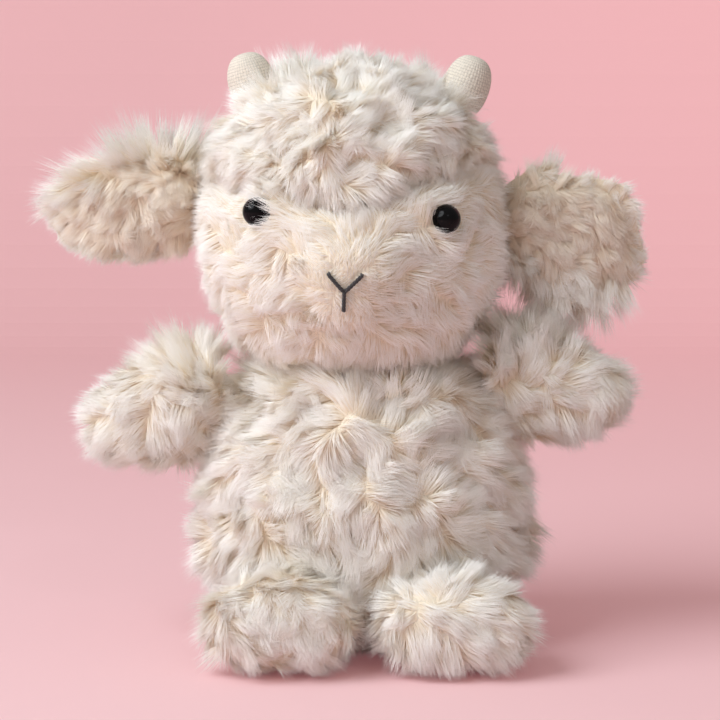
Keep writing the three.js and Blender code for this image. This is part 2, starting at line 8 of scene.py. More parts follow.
import bpy
import numpy as np
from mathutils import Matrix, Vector


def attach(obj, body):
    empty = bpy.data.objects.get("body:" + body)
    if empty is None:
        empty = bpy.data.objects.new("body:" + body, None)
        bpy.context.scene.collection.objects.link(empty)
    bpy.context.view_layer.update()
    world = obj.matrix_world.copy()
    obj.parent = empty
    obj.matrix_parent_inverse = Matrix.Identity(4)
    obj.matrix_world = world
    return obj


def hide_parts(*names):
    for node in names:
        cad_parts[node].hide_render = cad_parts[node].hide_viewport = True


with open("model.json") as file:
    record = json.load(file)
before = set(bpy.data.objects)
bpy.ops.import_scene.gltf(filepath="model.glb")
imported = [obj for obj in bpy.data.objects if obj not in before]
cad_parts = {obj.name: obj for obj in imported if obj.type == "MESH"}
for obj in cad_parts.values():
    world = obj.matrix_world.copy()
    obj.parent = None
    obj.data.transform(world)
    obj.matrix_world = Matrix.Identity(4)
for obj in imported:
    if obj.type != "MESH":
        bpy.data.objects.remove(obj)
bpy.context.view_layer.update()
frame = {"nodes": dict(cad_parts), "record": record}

bl_info = {
    "name": "Plush Lamb",
    "version": (1, 0, 0),
    "blender": (4, 5, 0),
    "location": "View3D > Sidebar > Plush Lamb",
    "description": "Dresses the packed frame of a stuffed toy lamb",
    "category": "Object",
}

MM = 0.001
TINY = 1e-6
UP = np.array((0.0, 0.0, 1.0))
BAKE_MAP = "OFBake"

# Sizes of the sewn forms, as in the solids
BODY_SIZE = (121, 104, 120)
BODY_TAPER = 0.1
BODY_FULLNESS = 0.8
SEAT_TRIM = 6
SHOULDER_RADIUS = 78
NECK_HEIGHT = 106
HEAD_SIZE = (110, 100, 118)
HEAD_SINK = 17
HEAD_SHIFT = -4
HEAD_FORWARD = 4
HEAD_TILT = math.radians(2.2)
HEAD_TAPER = 0.05
HEAD_FULLNESS = 0.82
MUZZLE_SWELL = 6
MUZZLE_REACH = 23
CHEEK_SWELL = 3
CHEEK_REACH = 22
CHEEK_SPACING = 77
EYE_DENT = 3.5
EYE_DENT_REACH = 13
BROW_RISE = 9
BROW_SLOPE = 0.2
TUFT_SPACING = 27
TUFT_HEIGHT = 6
TUFT_CLEARANCE = 14
TUFT_PEAK = 1.5
CROWN_EDGE = (2, 12)
BACK_EDGE = (-0.1, 0.4)
BACK_FOOT = (-0.7, -0.3)
EYE_SPACING = 65
EYE_RISE = 3
EYE_DIAMETER = 10
EYE_HEIGHT = 5.5
STEM_DIAMETER = 4.8
STEM_LENGTH = 13
NOSE_WIDTH = 10
NOSE_SHIFT = -1.2
NOSE_RISE = 5
NOSE_DROP = 19
MOUTH_LENGTH = 6.2
STITCH_DIAMETER = 1.6
HORN_DIAMETER = 16
HORN_HEIGHT = 10.8
HORN_SPACING = 70
HORN_BACK = 3
HORN_ROOT = 9
HORN_LEAN = math.radians(18)
HORN_FULLNESS = 0.78
HORN_ROOT_FULLNESS = 0.4
HORN_SWEEP = 0.8
EAR_LENGTH = 45
EAR_ROOT_RADIUS = 22
EAR_THICKNESS = 18
EAR_FULLNESS = 0.88
EAR_CUP = 8
EAR_GAP = 0.3
EAR_LINING_SCALE = 0.86
ARM_YAW = math.radians(10)
LIMB_FULLNESS = 0.72
SOLE_LEVEL = 1.0

# Joint name, side, droop at rest in degrees from level, and how much an ear widens past its root
EARS = {
    "left_ear": ("left_ear_flap", 1, -26.2, 9),
    "right_ear": ("right_ear_flap", -1, -7.4, 1),
}
ARMS = {
    "left_arm": ("left_arm_swing", 1, -9.0),
    "right_arm": ("right_arm_swing", -1, -14.6),
}
FEET = {"left_foot": "left_foot_flex", "right_foot": "right_foot_flex"}

# Length, root radius, depth and root fullness of each kind of limb
ARM_FORM = (39, 21, 38, 1)
FOOT_FORM = (18, 18, 56, 0.75)
TAIL_FORM = (13, 9, 24, 1)

# How deep the cloth lies under the tips of its pile
BODY_INSET = 5.5
HEAD_INSET = 4.5
CHIN_INSET = 3
LIMB_INSET = 5
LIMB_ENDS = (0.6, 1.3)
FOOT_ENDS = (0.6, 1.0)
TAIL_INSET = 4
EAR_INSET = 5.5
NOSE_INSET = 1
EYE_INSET = 1.5
CROWN_DEPTH = 3.5

# The gap over the shoulders, and where filling and pouch lie inside their covers
NECK_GAP = 1
FILLING_INSET = 3
FILLING_FLOOR = 24
HORN_CLOTH = 1.8
POUCH_BOTTOM = 5
POUCH_TOP = 21

# Rings and sides of the skins and of the forms inside them
BODY_GRID = (64, 96)
HEAD_GRID = (80, 112)
ARM_GRID = (36, 48)
FOOT_GRID = (36, 56)
TAIL_GRID = (24, 32)
EAR_GRID = (30, 48)
POUCH_GRID = (28, 48)
HORN_FILLING_GRID = (16, 24)
TRUNK_FILLING_GRID = (24, 36)
LIMB_FILLING_GRID = (18, 26)
TAIL_FILLING_GRID = (14, 20)

# The crease over the eyes and the seam beside each cheek, in the head's own frame
CREASE_RISE = 8
CREASE_SLOPES = (0.1, 0.3)
CREASE_DEPTH = 8
CREASE_WIDTH = 4
CHEEK_SEAM = 46
CHEEK_SEAM_DEPTH = 2
CHEEK_SEAM_WIDTH = 3

# How many strands of pile each piece has
BODY_STRANDS = 44000
CROWN_STRANDS = 42000
FACE_STRANDS = 48000
ARM_STRANDS = 26000
FOOT_STRANDS = 26000
EAR_STRANDS = 20000
LINING_STRANDS = 15000
TAIL_STRANDS = 8000

# Form, map and shading of a strand, the shorter and wider ones under the rest, and angles off the skin
STRAND_SIDES = 3
STRAND_FACES = np.array(((0, 3, 1), (1, 3, 2), (2, 3, 0), (0, 1, 2)))
STRAND_FLATNESS = 0.35
STRAND_CURVE = 0.35
STRAND_BREADTH = (0.75, 1.2)
STRAND_MAP_EDGE = 0.02
STRAND_MAP_HALF = 0.008
LOBE_UP = 0.6
LOBE_SKIN = 0.6
LOBE_OUT = 0.35
LOWER_SIDE = (0.87, 0.5)
UNDER_SHARE = 0.35
UNDER_LENGTH = 0.8
UNDER_WIDTH = 1.7
PILE_RISE = 0.95
PILE_REST = 0.15
PILE_BOUNCES = 16

# Length of the pile over each ear's root, as a share of the ear's own
EAR_FRINGES = {"left_ear": 1.1, "right_ear": 0.6}

# Where no pile grows: distances from joints, horns, stitches and beads, places along a limb, and levels
LIMB_HOLE = 19
NECK_HOLE = 22
NECK_HOLE_LEVEL = 90
EAR_HOLE = 15
HORN_HOLE = 8
STITCH_HOLE = 0.7
EYE_HOLE_OUTER = 0.6
EYE_HOLE_INNER = (-0.8, 0.4)
ARM_HOLE = -13
TAIL_HOLE = -4
EAR_ROOT_HOLE = -14
EAR_OPEN_GAP = 0.7
EAR_OPEN_RIM = 0.85
BODY_RIM = 2.8
FOOT_RIM = 3.4

# How strands gather into tufts: shares, angles by tuft and by strand, and least heights over the floor
LEAD_PULL = 0.75
BEND_SHARE = 0.5**0.7
TURN_STRAY = (0.6, 0.18)
LIFT_STRAY = (0.2, 0.08)
CURL_STRAY = (0.45, 0.2)
TUFT_REACH = (0.75, 1.2)
STRAND_REACH = (0.7, 1.1)
REACH_RATIO = (0.6, 1.1)
TUFT_DRAW = 0.2
LOOSE_SHARE = 0.22
LOOSE_PULL = 0.15
CLUMP_SPREAD = (0.6, 1.1)
TIP_SCATTER = 0.3
FLOOR_GAP = 0.4
EDGE_GAP = 0.15

# Ranges over which skin and pile change: levels, distances, and places along a limb or in the head's frame
FACE_FRONT = (0, 25)
CHIN_SKIN = (30, 44)
CROWN_SKIN = (34, 54)
CREASE_SKIN = (0, 8)
NOSE_SKIN = (4, 16)
EYE_NEAR = (6, 14)
EYE_OVER = (8, 16)
EYE_INNER = (-2, 4)
SEAT_FRINGE = (14, 30)
SEAT_SHORT = (4, 14)
SHOULDER_LEVELS = (80, 92)
ARM_NEAR = (22, 34)
BROW_FRONT = (15, 35)
BROW_OVER = (2, 14)
HORN_NEAR = (12, 22)
HORN_INNER = (-6, 2)
NOSE_NEAR = (3, 15)
NOSE_FLAT = (3, 14)
CREASE_FRONT = (10, 30)
CREASE_UNDER = (-12, -3)
CHIN_FRONT = (5, 25)
CHIN_LEVELS = (30, 42)
NAPE_BACK = (-10, 15)
NAPE_LEVELS = (22, 38)
ARM_ROOT = (-6, 12)
ARM_TOP = (-4, 8)
EAR_ROOT = (-6, 14)
EAR_BELOW = (-2, 8)
EAR_TOP = (-5, 5)

# Ranges of shares: how near an ear's root, how straight out the skin faces, and along and across an ear
EAR_CLOSE = (0.4, 0.7)
ARM_TIP = (0.6, 0.95)
TAIL_TIP = (0.5, 0.95)
EAR_TIP = (0.65, 0.9)
EAR_EDGE = (0.5, 0.9)

# How strongly and how far limbs and swirls turn the pile
ARM_PULL = 4
ARM_PULL_REACH = 27
EAR_PULL = 3
EAR_PULL_REACH = 26
BODY_SWIRL_REACH = 22
ARM_SWIRL_REACH = 16
SWIRL_TOP = 10

# Wavelengths of the drift and spacings of the whorls in the flow of the pile
BODY_DRIFT = 36
BODY_WHORLS = 20
CROWN_DRIFT = 45
CROWN_WHORLS = 15
FACE_DRIFT = 22
FACE_WHORLS = 12
LIMB_DRIFT = 34
ARM_WHORLS = 16
FOOT_WHORLS = 18
TAIL_DRIFT = 30
EAR_DRIFT = 34
LINING_DRIFT = 30
LINING_WHORLS = 14
WHORL_SAMPLES = 3000
LUMP_SIZE = 14
BEAN_SIZE = 7

# Seeds of the random draws
BODY_SEED = 21
CROWN_SEED = 32
FACE_SEED = 33
ARM_SEED = 41
FOOT_SEED = 61
TAIL_SEED = 81
EAR_SEED = 91
FILLING_SEED = 101
POUCH_SEED = 120

# Where the pile swirls, in the whole frame
BODY_SWIRLS = ((-16, -44, 72), (8, -46, 86), (23, -44, 50))
CROWN_SWIRL = (-3, -40, 184)
LEFT_ARM_SWIRL = (68, -22, 92)
RIGHT_FOOT_SWIRL = (-11, -66, 14)
LEFT_FOOT_SWIRL = (33, -66, 20)

# Meshes of the beads, the horns' weave and the plied thread, whose shares are of the stitch's diameter
EYE_SIDES = 48
EYE_STEPS = 24
EYE_EDGE = 0.25
EDGE_STEPS = 5
STEM_FILLET = 0.3
STEM_CHAMFER = 0.4
HORN_STEPS = 90
THREAD_SIDES = 4
THREAD_HEIGHT = 0.22
PLIES = 3
PLY_STEPS = 48
PLY_SIDES = 8
PLY_TURNS = 2.2
PLY_OFFSET = 0.19
PLY_RADIUS = 0.25
PLY_ENDS = 0.2
NOSE_GAP = 0.2
MOUTH_GAP = 0.3
STITCH_SPOTS = 6
STITCH_RISE = 0.4
STITCH_DIVE = 2.6

# Colours of hidden pieces and of the sky, as display values, and pitches of hidden cloth in metres
FIBRE_COLOURS = ((226, 222, 214), (247, 245, 240))
WASHER_COLOURS = ((214, 214, 210), (236, 236, 232))
POUCH_COLOUR = (207, 198, 180)
SKY_COLOUR = (255, 252, 248)
BACKING_PITCH = 0.0012
POUCH_PITCH = 0.0009

# The backdrop's profile in millimetres, and places and sizes of camera and lamps in metres
BACKDROP_STEPS = 24
BACKDROP_BEND = 600
BACKDROP_BACK = 900
BACKDROP_FRONT = -2500
BACKDROP_TOP = 2600
BACKDROP_HALF = 3000
CAMERA_AIM = (0.0041, -0.010, 0.0995)
SENSOR_WIDTH = 36
NEAR_CLIP = 0.01
LAMP_AIM = (0, 0, 0.1)
KEY_PLACE = (-0.84, -0.54, 0.98)
KEY_SIZE = 1.1
FILL_PLACE = (0.25, -0.9, 0.7)
FILL_SIZE = 0.05


def linear(red, green, blue):
    """A colour written as 0 to 255 display values, as scene light."""
    parts = np.array((red, green, blue)) / 255
    return tuple(np.where(parts <= 0.04045, parts / 12.92, ((parts + 0.055) / 1.055) ** 2.4))


# Settings that a user would change


class PileSettings(bpy.types.PropertyGroup):
    """Lengths and colours of the pile."""

    body_length: bpy.props.FloatProperty(
        name="Body pile", description="Length of a strand on the body", default=0.0125, subtype="DISTANCE")
    crown_length: bpy.props.FloatProperty(
        name="Crown pile", description="Length of a strand on top of the head", default=0.0105,
        subtype="DISTANCE")
    face_length: bpy.props.FloatProperty(
        name="Face pile", description="Length of a strand on the face", default=0.008, subtype="DISTANCE")
    chin_length: bpy.props.FloatProperty(
        name="Chin pile", description="Length of a strand under the chin", default=0.0095, subtype="DISTANCE")
    limb_length: bpy.props.FloatProperty(
        name="Limb pile", description="Length of a strand on arms and feet", default=0.0115,
        subtype="DISTANCE")
    tail_length: bpy.props.FloatProperty(
        name="Tail pile", description="Length of a strand on the tail", default=0.009, subtype="DISTANCE")
    ear_length: bpy.props.FloatProperty(
        name="Ear pile", description="Length of a strand on the ears", default=0.0125, subtype="DISTANCE")
    lining_length: bpy.props.FloatProperty(
        name="Lining pile", description="Length of a strand inside the ears", default=0.0095,
        subtype="DISTANCE")
    strand_width: bpy.props.FloatProperty(
        name="Strand width", description="Width of a strand at its root", default=0.00023,
        subtype="DISTANCE")
    tip_colour: bpy.props.FloatVectorProperty(
        name="Tips", description="Colour of the pile's tips", default=linear(253, 251, 248),
        subtype="COLOR", min=0, max=1)
    middle_colour: bpy.props.FloatVectorProperty(
        name="Pile", description="Colour half way along a strand", default=linear(251, 247, 239),
        subtype="COLOR", min=0, max=1)
    # The roots and the backing cloth are painted darker and warmer than the tips, as shade deep in the pile.
    root_shade_colour: bpy.props.FloatVectorProperty(
        name="Roots", description="Colour of the pile's roots and cloth", default=linear(244, 231, 209),
        subtype="COLOR", min=0, max=1)
    lining_colour: bpy.props.FloatVectorProperty(
        name="Ear lining", description="Colour of the pile inside the ears", default=linear(244, 231, 212),
        subtype="COLOR", min=0, max=1)


class TrimSettings(bpy.types.PropertyGroup):
    """Colours of the trim, and the pitch of its cloth."""

    bead_colour: bpy.props.FloatVectorProperty(
        name="Eyes", description="Colour of the beads", default=linear(14, 13, 14), subtype="COLOR",
        min=0, max=1)
    thread_colour: bpy.props.FloatVectorProperty(
        name="Thread", description="Colour of the nose and mouth", default=linear(44, 41, 42),
        subtype="COLOR", min=0, max=1)
    canvas_colour: bpy.props.FloatVectorProperty(
        name="Horns", description="Colour of the woven horns", default=linear(236, 226, 210),
        subtype="COLOR", min=0, max=1)
    canvas_pitch: bpy.props.FloatProperty(
        name="Canvas pitch", description="Distance between two threads of the horns", default=0.0011,
        subtype="DISTANCE")


class StageSettings(bpy.types.PropertyGroup):
    """Backdrop, camera and lights."""

    backdrop_colour: bpy.props.FloatVectorProperty(
        name="Backdrop", description="Colour of the floor and backdrop", default=linear(228, 193, 195),
        subtype="COLOR", min=0, max=1)
    # The backdrop's glow is painted light, seen only by the camera and in reflections.
    painted_glow_colour: bpy.props.FloatVectorProperty(
        name="Backdrop glow", description="Colour that the backdrop adds of its own",
        default=linear(255, 166, 172), subtype="COLOR", min=0, max=1)
    camera_rise: bpy.props.FloatProperty(
        name="Camera rise", description="Angle of the camera above level", default=math.radians(6.5),
        subtype="ANGLE")
    camera_distance: bpy.props.FloatProperty(
        name="Camera distance", description="From the camera to the middle of the toy", default=0.75,
        subtype="DISTANCE")
    lens: bpy.props.FloatProperty(
        name="Lens", description="Focal length in millimetres on a sensor 36 mm wide", default=108.7)
    key_power: bpy.props.FloatProperty(
        name="Key light", description="Power of the light at the upper left", default=18.3, unit="POWER")
    lamp_colour: bpy.props.FloatVectorProperty(
        name="Lamps", description="Colour of the key and fill lights", default=(0.9, 0.95, 1.0),
        subtype="COLOR", min=0, max=1)
    fill_power: bpy.props.FloatProperty(
        name="Fill light", description="Power of the small light in front", default=0.5, unit="POWER")
    sky_strength: bpy.props.FloatProperty(
        name="Sky", description="Strength of the even light from all round", default=0.38, subtype="FACTOR")


# Arrays: small helpers on rows of points


def unit(rows):
    """Each row over its own length."""
    return rows / np.maximum(np.linalg.norm(rows, axis=-1, keepdims=True), TINY)


def smooth(values, low, high):
    """0 below low, 1 above high, and the cubic 3t^2 - 2t^3 between."""
    share = np.clip((values - low) / (high - low), 0, 1)
    return share * share * (3 - 2 * share)


def lerp(first, second, share):
    """From first to second by a share."""
    return first + (second - first) * share


def fuller(girth, fullness):
    """A factor that draws a ball's girth towards a full section: girth to the power (fullness - 1)."""
    return np.maximum(girth, TINY) ** (fullness - 1)


def flattened(rows, normals):
    """The part of each row that lies along a skin with these normals, at unit length."""
    return unit(rows - (rows * normals).sum(axis=1, keepdims=True) * normals)


def drift(points, wavelength, seed):
    """Smooth wandering vectors: twelve plane waves with seeded ways, phases and pushes, summed."""
    rng = np.random.default_rng(seed)
    waves = 12
    ways = unit(rng.normal(size=(waves, 3))) * rng.uniform(0.6, 1.5, (waves, 1)) * math.tau / wavelength
    pushes = rng.normal(size=(waves, 3)) * math.sqrt(2 / waves)
    return np.sin(points @ ways.T + rng.uniform(0, math.tau, waves)) @ pushes


def bell(points, centre, reach):
    """1 at a centre, falling with distance as exp(-(distance / reach)^2)."""
    return np.exp(-((np.linalg.norm(points - np.asarray(centre, float), axis=1) / reach) ** 2))


def swirl(points, centre, reach):
    """Straight away from a centre, fading with distance as a bell over its reach and at the centre itself."""
    away = points - np.asarray(centre, float)
    gap = np.linalg.norm(away, axis=1, keepdims=True)
    fade = bell(points, centre, reach)[:, None]
    return away / np.maximum(gap, TINY) * fade * smooth(gap, 0, reach / 2)


def whorls(points, spacing, seed):
    """Ways out from the middles of cells, each middle the point farthest from those before it.

    The ways from all middles are summed with weights that fall off as exp(-distance), so that neighbouring
    cells run into each other.
    """
    rng = np.random.default_rng(seed)
    some = rng.choice(points, WHORL_SAMPLES)
    middles = some[:1]
    gaps = np.linalg.norm(some - middles[0], axis=1)
    while gaps.max() > spacing:
        middles = np.append(middles, some[gaps.argmax()][None], axis=0)
        gaps = np.minimum(gaps, np.linalg.norm(some - middles[-1], axis=1))
    total = np.zeros_like(points)
    shares = np.zeros((len(points), 1))
    _, least = nearest(points, middles)
    for middle in middles:
        away = points - middle
        gap = np.linalg.norm(away, axis=1)
        share = np.exp((least - gap) / (spacing / 6))[:, None]
        total += share * away / np.maximum(gap, TINY)[:, None]
        shares += share
    return total / shares


def nearest(points, spots):
    """Index of, and distance to, the closest spot for each point, by |a|^2 + |b|^2 - 2ab."""
    squares = (points**2).sum(1)[:, None] + (spots**2).sum(1) - 2 * points @ spots.T
    index = squares.argmin(axis=1)
    return index, np.sqrt(np.maximum(squares[np.arange(len(points)), index], 0))


# Meshes: balls by latitude and longitude, tubes, and rows of points made objects


def ball(rings, sides, pole=2):
    """Directions over a ball: (sin a cos b, sin a sin b, cos a), with its axis on the pole's coordinate."""
    fall = np.linspace(0, math.pi, rings + 1)[1:-1, None]
    round_ = np.arange(sides) * math.tau / sides
    rows = np.stack(np.broadcast_arrays(
        np.sin(fall) * np.cos(round_), np.sin(fall) * np.sin(round_), np.cos(fall)), axis=-1)
    points = np.concatenate([[UP], rows.reshape(-1, 3), [-UP]])
    return np.roll(points, pole - 2, axis=1)


def ball_faces(rings, sides):
    """Faces of such a ball: a fan at each pole and quads between."""
    grid = 1 + np.arange((rings - 1) * sides).reshape(rings - 1, sides)
    beside = np.roll(grid, -1, axis=1)
    quads = np.stack([grid[:-1], grid[1:], beside[1:], beside[:-1]], axis=-1).reshape(-1, 4)
    last = grid[-1, -1] + 1
    top = np.stack([np.zeros(sides, int), grid[0], beside[0]], axis=1)
    bottom = np.stack([grid[-1], np.full(sides, last), beside[-1]], axis=1)
    return [top, quads, bottom]


def triangles_of(faces):
    """All faces as triangles, each quad cut in two."""
    parts = []
    for part in faces:
        parts.append(part[:, [0, 1, 2]])
        if part.shape[1] == 4:
            parts.append(part[:, [0, 2, 3]])
    return np.concatenate(parts)


def skin_normals(points, faces):
    """Normals at points: the sum of the faces' cross products round each, at unit length."""
    corners = triangles_of(faces)
    first, second, third = (points[corners[:, k]] for k in range(3))
    cross = np.cross(second - first, third - first)
    total = np.zeros_like(points)
    for k in range(3):
        for axis in range(3):
            total[:, axis] += np.bincount(corners[:, k], cross[:, axis], len(points))
    return unit(total)


def tube(path, radius, sides, normal):
    """A round bar along a path with flat ends: a ring of the radius about each point."""
    steps = len(path)
    ahead = unit(np.gradient(path, axis=0))
    side = unit(np.cross(ahead, normal))
    rise = np.cross(side, ahead)
    angles = -np.arange(sides) * math.tau / sides
    ring = np.cos(angles)[:, None] * side[:, None] + np.sin(angles)[:, None] * rise[:, None]
    rows = path[:, None] + np.broadcast_to(np.asarray(radius), steps)[:, None, None] * ring
    points = np.concatenate([rows.reshape(-1, 3), path[:1], path[-1:]])
    grid = np.arange(steps * sides).reshape(steps, sides)
    beside = np.roll(grid, -1, axis=1)
    quads = np.stack([grid[:-1], beside[:-1], beside[1:], grid[1:]], axis=-1).reshape(-1, 4)
    start = np.stack([np.full(sides, steps * sides), beside[0], grid[0]], axis=1)
    end = np.stack([grid[-1], beside[-1], np.full(sides, steps * sides + 1)], axis=1)
    return points, [quads, start, end]


def add_map(mesh, label, places, faces):
    """A map of a mesh that gives every corner of its faces the place of its point."""
    corners = np.concatenate([part.ravel() for part in faces])
    layer = mesh.uv_layers.new(name=label)
    layer.uv.foreach_set("vector", places[corners].astype(np.float32).ravel())


def new_piece(name, points, faces, material, body, map_=None):
    """A smooth mesh object from millimetre points and faces, riding on a body, in a material slot."""
    mesh = bpy.data.meshes.new(name)
    sizes = np.concatenate([np.full(len(part), part.shape[1]) for part in faces])
    corners = np.concatenate([part.ravel() for part in faces]).astype(np.int32)
    mesh.vertices.add(len(points))
    mesh.vertices.foreach_set("co", (points * MM).astype(np.float32).ravel())
    mesh.loops.add(len(corners))
    mesh.loops.foreach_set("vertex_index", corners)
    mesh.polygons.add(len(sizes))
    mesh.polygons.foreach_set("loop_start", (np.cumsum(sizes) - sizes).astype(np.int32))
    mesh.polygons.foreach_set("use_smooth", np.ones(len(sizes), bool))
    mesh.update(calc_edges=True)
    if map_ is not None:
        add_map(mesh, BAKE_MAP, map_, faces)
    mesh.materials.append(material)
    piece = bpy.data.objects.new(name, mesh)
    bpy.context.scene.collection.objects.link(piece)
    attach(piece, body)
    return piece


# Places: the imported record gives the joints, and the joints the frames of the limbs

JOINTS = {joint["name"]: np.array(joint["pos_m"]) / MM for joint in frame["record"]["behaviour"]["joints"]}
NECK = JOINTS["head_turn"]
TOY_MIDDLE = NECK - (HEAD_SHIFT, 0, NECK_HEIGHT)
BODY_MIDDLE = TOY_MIDDLE + (0, 0, BODY_SIZE[2] / 2 - SEAT_TRIM)
SHOULDER_MIDDLE = NECK - SHOULDER_RADIUS * UP
HEAD_MIDDLE = NECK + (0, -HEAD_FORWARD, HEAD_SIZE[2] / 2 - HEAD_SINK)
HEAD_AXES = np.array((
    (math.cos(HEAD_TILT), 0, -math.sin(HEAD_TILT)),
    (0, 1, 0),
    (math.sin(HEAD_TILT), 0, math.cos(HEAD_TILT)),
))


def from_head(points):
    """Places in the head's own frame, in the whole frame."""
    return points @ HEAD_AXES + HEAD_MIDDLE


def into_head(points):
    """Places in the whole frame, in the head's own frame."""
    return (points - HEAD_MIDDLE) @ HEAD_AXES.T


def side_axes(side, yaw, droop):
    """Rows of a limb's frame: out along it, along its hinge, and across both."""
    level = np.array((side * math.cos(yaw), -math.sin(yaw), 0))
    hinge = np.array((side * math.sin(yaw), math.cos(yaw), 0))
    out = level * math.cos(droop) + UP * math.sin(droop)
    return np.array((out, hinge, np.cross(out, hinge)))


def limb_place(name):
    """Where a limb's joint is and the rows of its frame."""
    if name in ARMS:
        joint, side, droop = ARMS[name]
        return JOINTS[joint], side_axes(side, ARM_YAW, math.radians(droop))
    if name in EARS:
        joint, side, droop, _ = EARS[name]
        return JOINTS[joint], side_axes(side, 0, math.radians(droop))
    if name in FEET:
        return JOINTS[FEET[name]], np.array(((0, -1, 0), (1, 0, 0), (0, 0, 1.0)))
    return JOINTS["tail_wag"], np.array(((0, 1, 0), (0, 0, 1), (1.0, 0, 0)))


def limb_spots(names):
    """Where the joints of some limbs are, as rows."""
    return np.array([limb_place(name)[0] for name in names])


# Forms: where each direction on a ball is carried to


def pear(ways, size, fullness, taper):
    """A ball stretched to a size, its girth raised to a fullness and narrowed upwards by a taper."""
    width, depth, height = size
    swell = fuller(np.hypot(ways[:, 0], ways[:, 1]), fullness) * (1 - taper * ways[:, 2])
    return ways * np.stack([swell * width / 2, swell * depth / 2, np.full(len(ways), height / 2)], axis=1)


def tuft_rise(places, roots):
    """How far lobes of pile lift a skin: sin x cos y + sin y cos z + sin z cos x, fading at limbs' roots."""
    x, y, z = places.T * math.tau / TUFT_SPACING
    waves = np.sin(x) * np.cos(y) + np.sin(y) * np.cos(z) + np.sin(z) * np.cos(x)
    rise = TUFT_HEIGHT / 2 * waves / TUFT_PEAK
    for place, radius in roots:
        rise = rise * smooth(np.linalg.norm(places - place, axis=1) - radius, 0, TUFT_CLEARANCE)
    return rise


def body_form(ways):
    """The body's pear with its tufts, in the whole frame."""
    even = pear(ways, BODY_SIZE, BODY_FULLNESS, BODY_TAPER)
    forms = {**dict.fromkeys(ARMS, ARM_FORM), **dict.fromkeys(FEET, FOOT_FORM), "tail": TAIL_FORM}
    roots = [(limb_place(name)[0] - BODY_MIDDLE, max(form[1], form[2] / 2)) for name, form in forms.items()]
    return even + ways * tuft_rise(even, roots)[:, None] + BODY_MIDDLE


def face_way(across, up):
    """The direction on the ball of places across and up from the middle of the face."""
    x = np.asarray(across, float) / (HEAD_SIZE[0] / 2)
    z = np.asarray(up, float) / (HEAD_SIZE[2] / 2)
    return np.stack([x, -np.sqrt(1 - x * x - z * z), z], axis=-1)


def hump(ways, middle, reach):
    """A bell about one direction: 1 at its middle, fading over its reach across the head."""
    away = np.linalg.norm(ways - middle, axis=1) * HEAD_SIZE[0] / 2 / reach
    return np.exp(-away * away)


def head_form(ways):
    """The head in its own frame: a pear swollen at muzzle and cheeks, dented at the eyes, with tufts."""
    even = pear(ways, HEAD_SIZE, HEAD_FULLNESS, HEAD_TAPER)
    swell = MUZZLE_SWELL * hump(ways, face_way(0, -NOSE_DROP), MUZZLE_REACH)
    for side in (-1, 1):
        swell += CHEEK_SWELL * hump(ways, face_way(side * CHEEK_SPACING / 2, -NOSE_DROP), CHEEK_REACH)
        swell -= EYE_DENT * hump(ways, face_way(side * EYE_SPACING / 2, EYE_RISE), EYE_DENT_REACH)
    brow = BROW_RISE + BROW_SLOPE * np.abs(ways[:, 0]) * HEAD_SIZE[0] / 2
    crown = smooth(ways[:, 2] * HEAD_SIZE[2] / 2 - brow, *CROWN_EDGE)
    back = smooth(ways[:, 1], *BACK_EDGE) * smooth(ways[:, 2], *BACK_FOOT)
    ears = [(into_head(limb_place(name)[0]), EAR_ROOT_RADIUS) for name in EARS]
    swell += tuft_rise(even, ears) * np.maximum(crown, back)
    return even + ways * swell[:, None]


def head_slope(ways):
    """Which way the head's skin faces: the cross product of two short steps along it."""
    step = 0.02
    side = unit(np.cross(UP, ways))
    rise = np.cross(ways, side)
    across = head_form(unit(ways + step * side)) - head_form(unit(ways - step * side))
    upward = head_form(unit(ways + step * rise)) - head_form(unit(ways - step * rise))
    return unit(np.cross(across, upward))


def turned_axes(axis):
    """Two directions square to an axis and to each other, and the axis."""
    side = unit(np.cross(axis, (0.3, 0.2, 1.0)))
    return np.array((side, np.cross(axis, side), axis))


def horn_place(side):
    """Where a horn stands on the head, and its rows: two across and its leaning axis."""
    x = HORN_SPACING / HEAD_SIZE[0]
    y = HORN_BACK / (HEAD_SIZE[1] / 2)
    way = np.array((side * x, y, math.sqrt(1 - x * x - y * y)))
    axis = np.array((side * math.sin(HORN_LEAN), 0, math.cos(HORN_LEAN))) @ HEAD_AXES
    return from_head(head_form(way[None]))[0], turned_axes(axis)


def horn_spots():
    """Where both horns stand, as rows."""
    return np.array([horn_place(side)[0] for side in (-1, 1)])


def limb_form(ways, form):
    """A limb along X: a root that is round about its Y hinge, drawn out past the joint to a blunt end."""
    length, radius, depth, fullness = form
    outer = ways[:, 0] > 0
    round_ = radius * fuller(np.hypot(ways[:, 0], ways[:, 2]), fullness)
    blunt = np.where(outer, fuller(np.hypot(ways[:, 1], ways[:, 2]), LIMB_FULLNESS), 1)
    along = ways[:, 0] * round_ * np.where(outer, length / radius, 1)
    return np.stack([along, ways[:, 1] * depth / 2 * blunt, ways[:, 2] * round_ * blunt], axis=1)


def ear_form(ways, swell, facing, scale, inset):
    """One layer of an ear along X: half a lens on a sheet that cups forwards with the square of its width."""
    outer = ways[:, 0] > 0
    blunt = np.where(outer, fuller(np.hypot(ways[:, 1], ways[:, 2]), EAR_FULLNESS), 1)
    widen = np.where(outer, swell * np.sin(math.pi * ways[:, 0]) ** 2, 0)
    reach = np.where(outer, EAR_LENGTH, EAR_ROOT_RADIUS) * scale - inset
    along = ways[:, 0] * reach
    across = ways[:, 2] * blunt * ((EAR_ROOT_RADIUS + widen) * scale - inset)
    curl = smooth(along, 0, EAR_LENGTH / 2)
    sheet = -EAR_CUP * curl * (across / (EAR_ROOT_RADIUS + swell)) ** 2
    pile = np.maximum(facing * ways[:, 1], 0) * blunt * (EAR_THICKNESS / 2 - inset / 2)
    return np.stack([along, sheet + facing * (pile + EAR_GAP), across], axis=1)


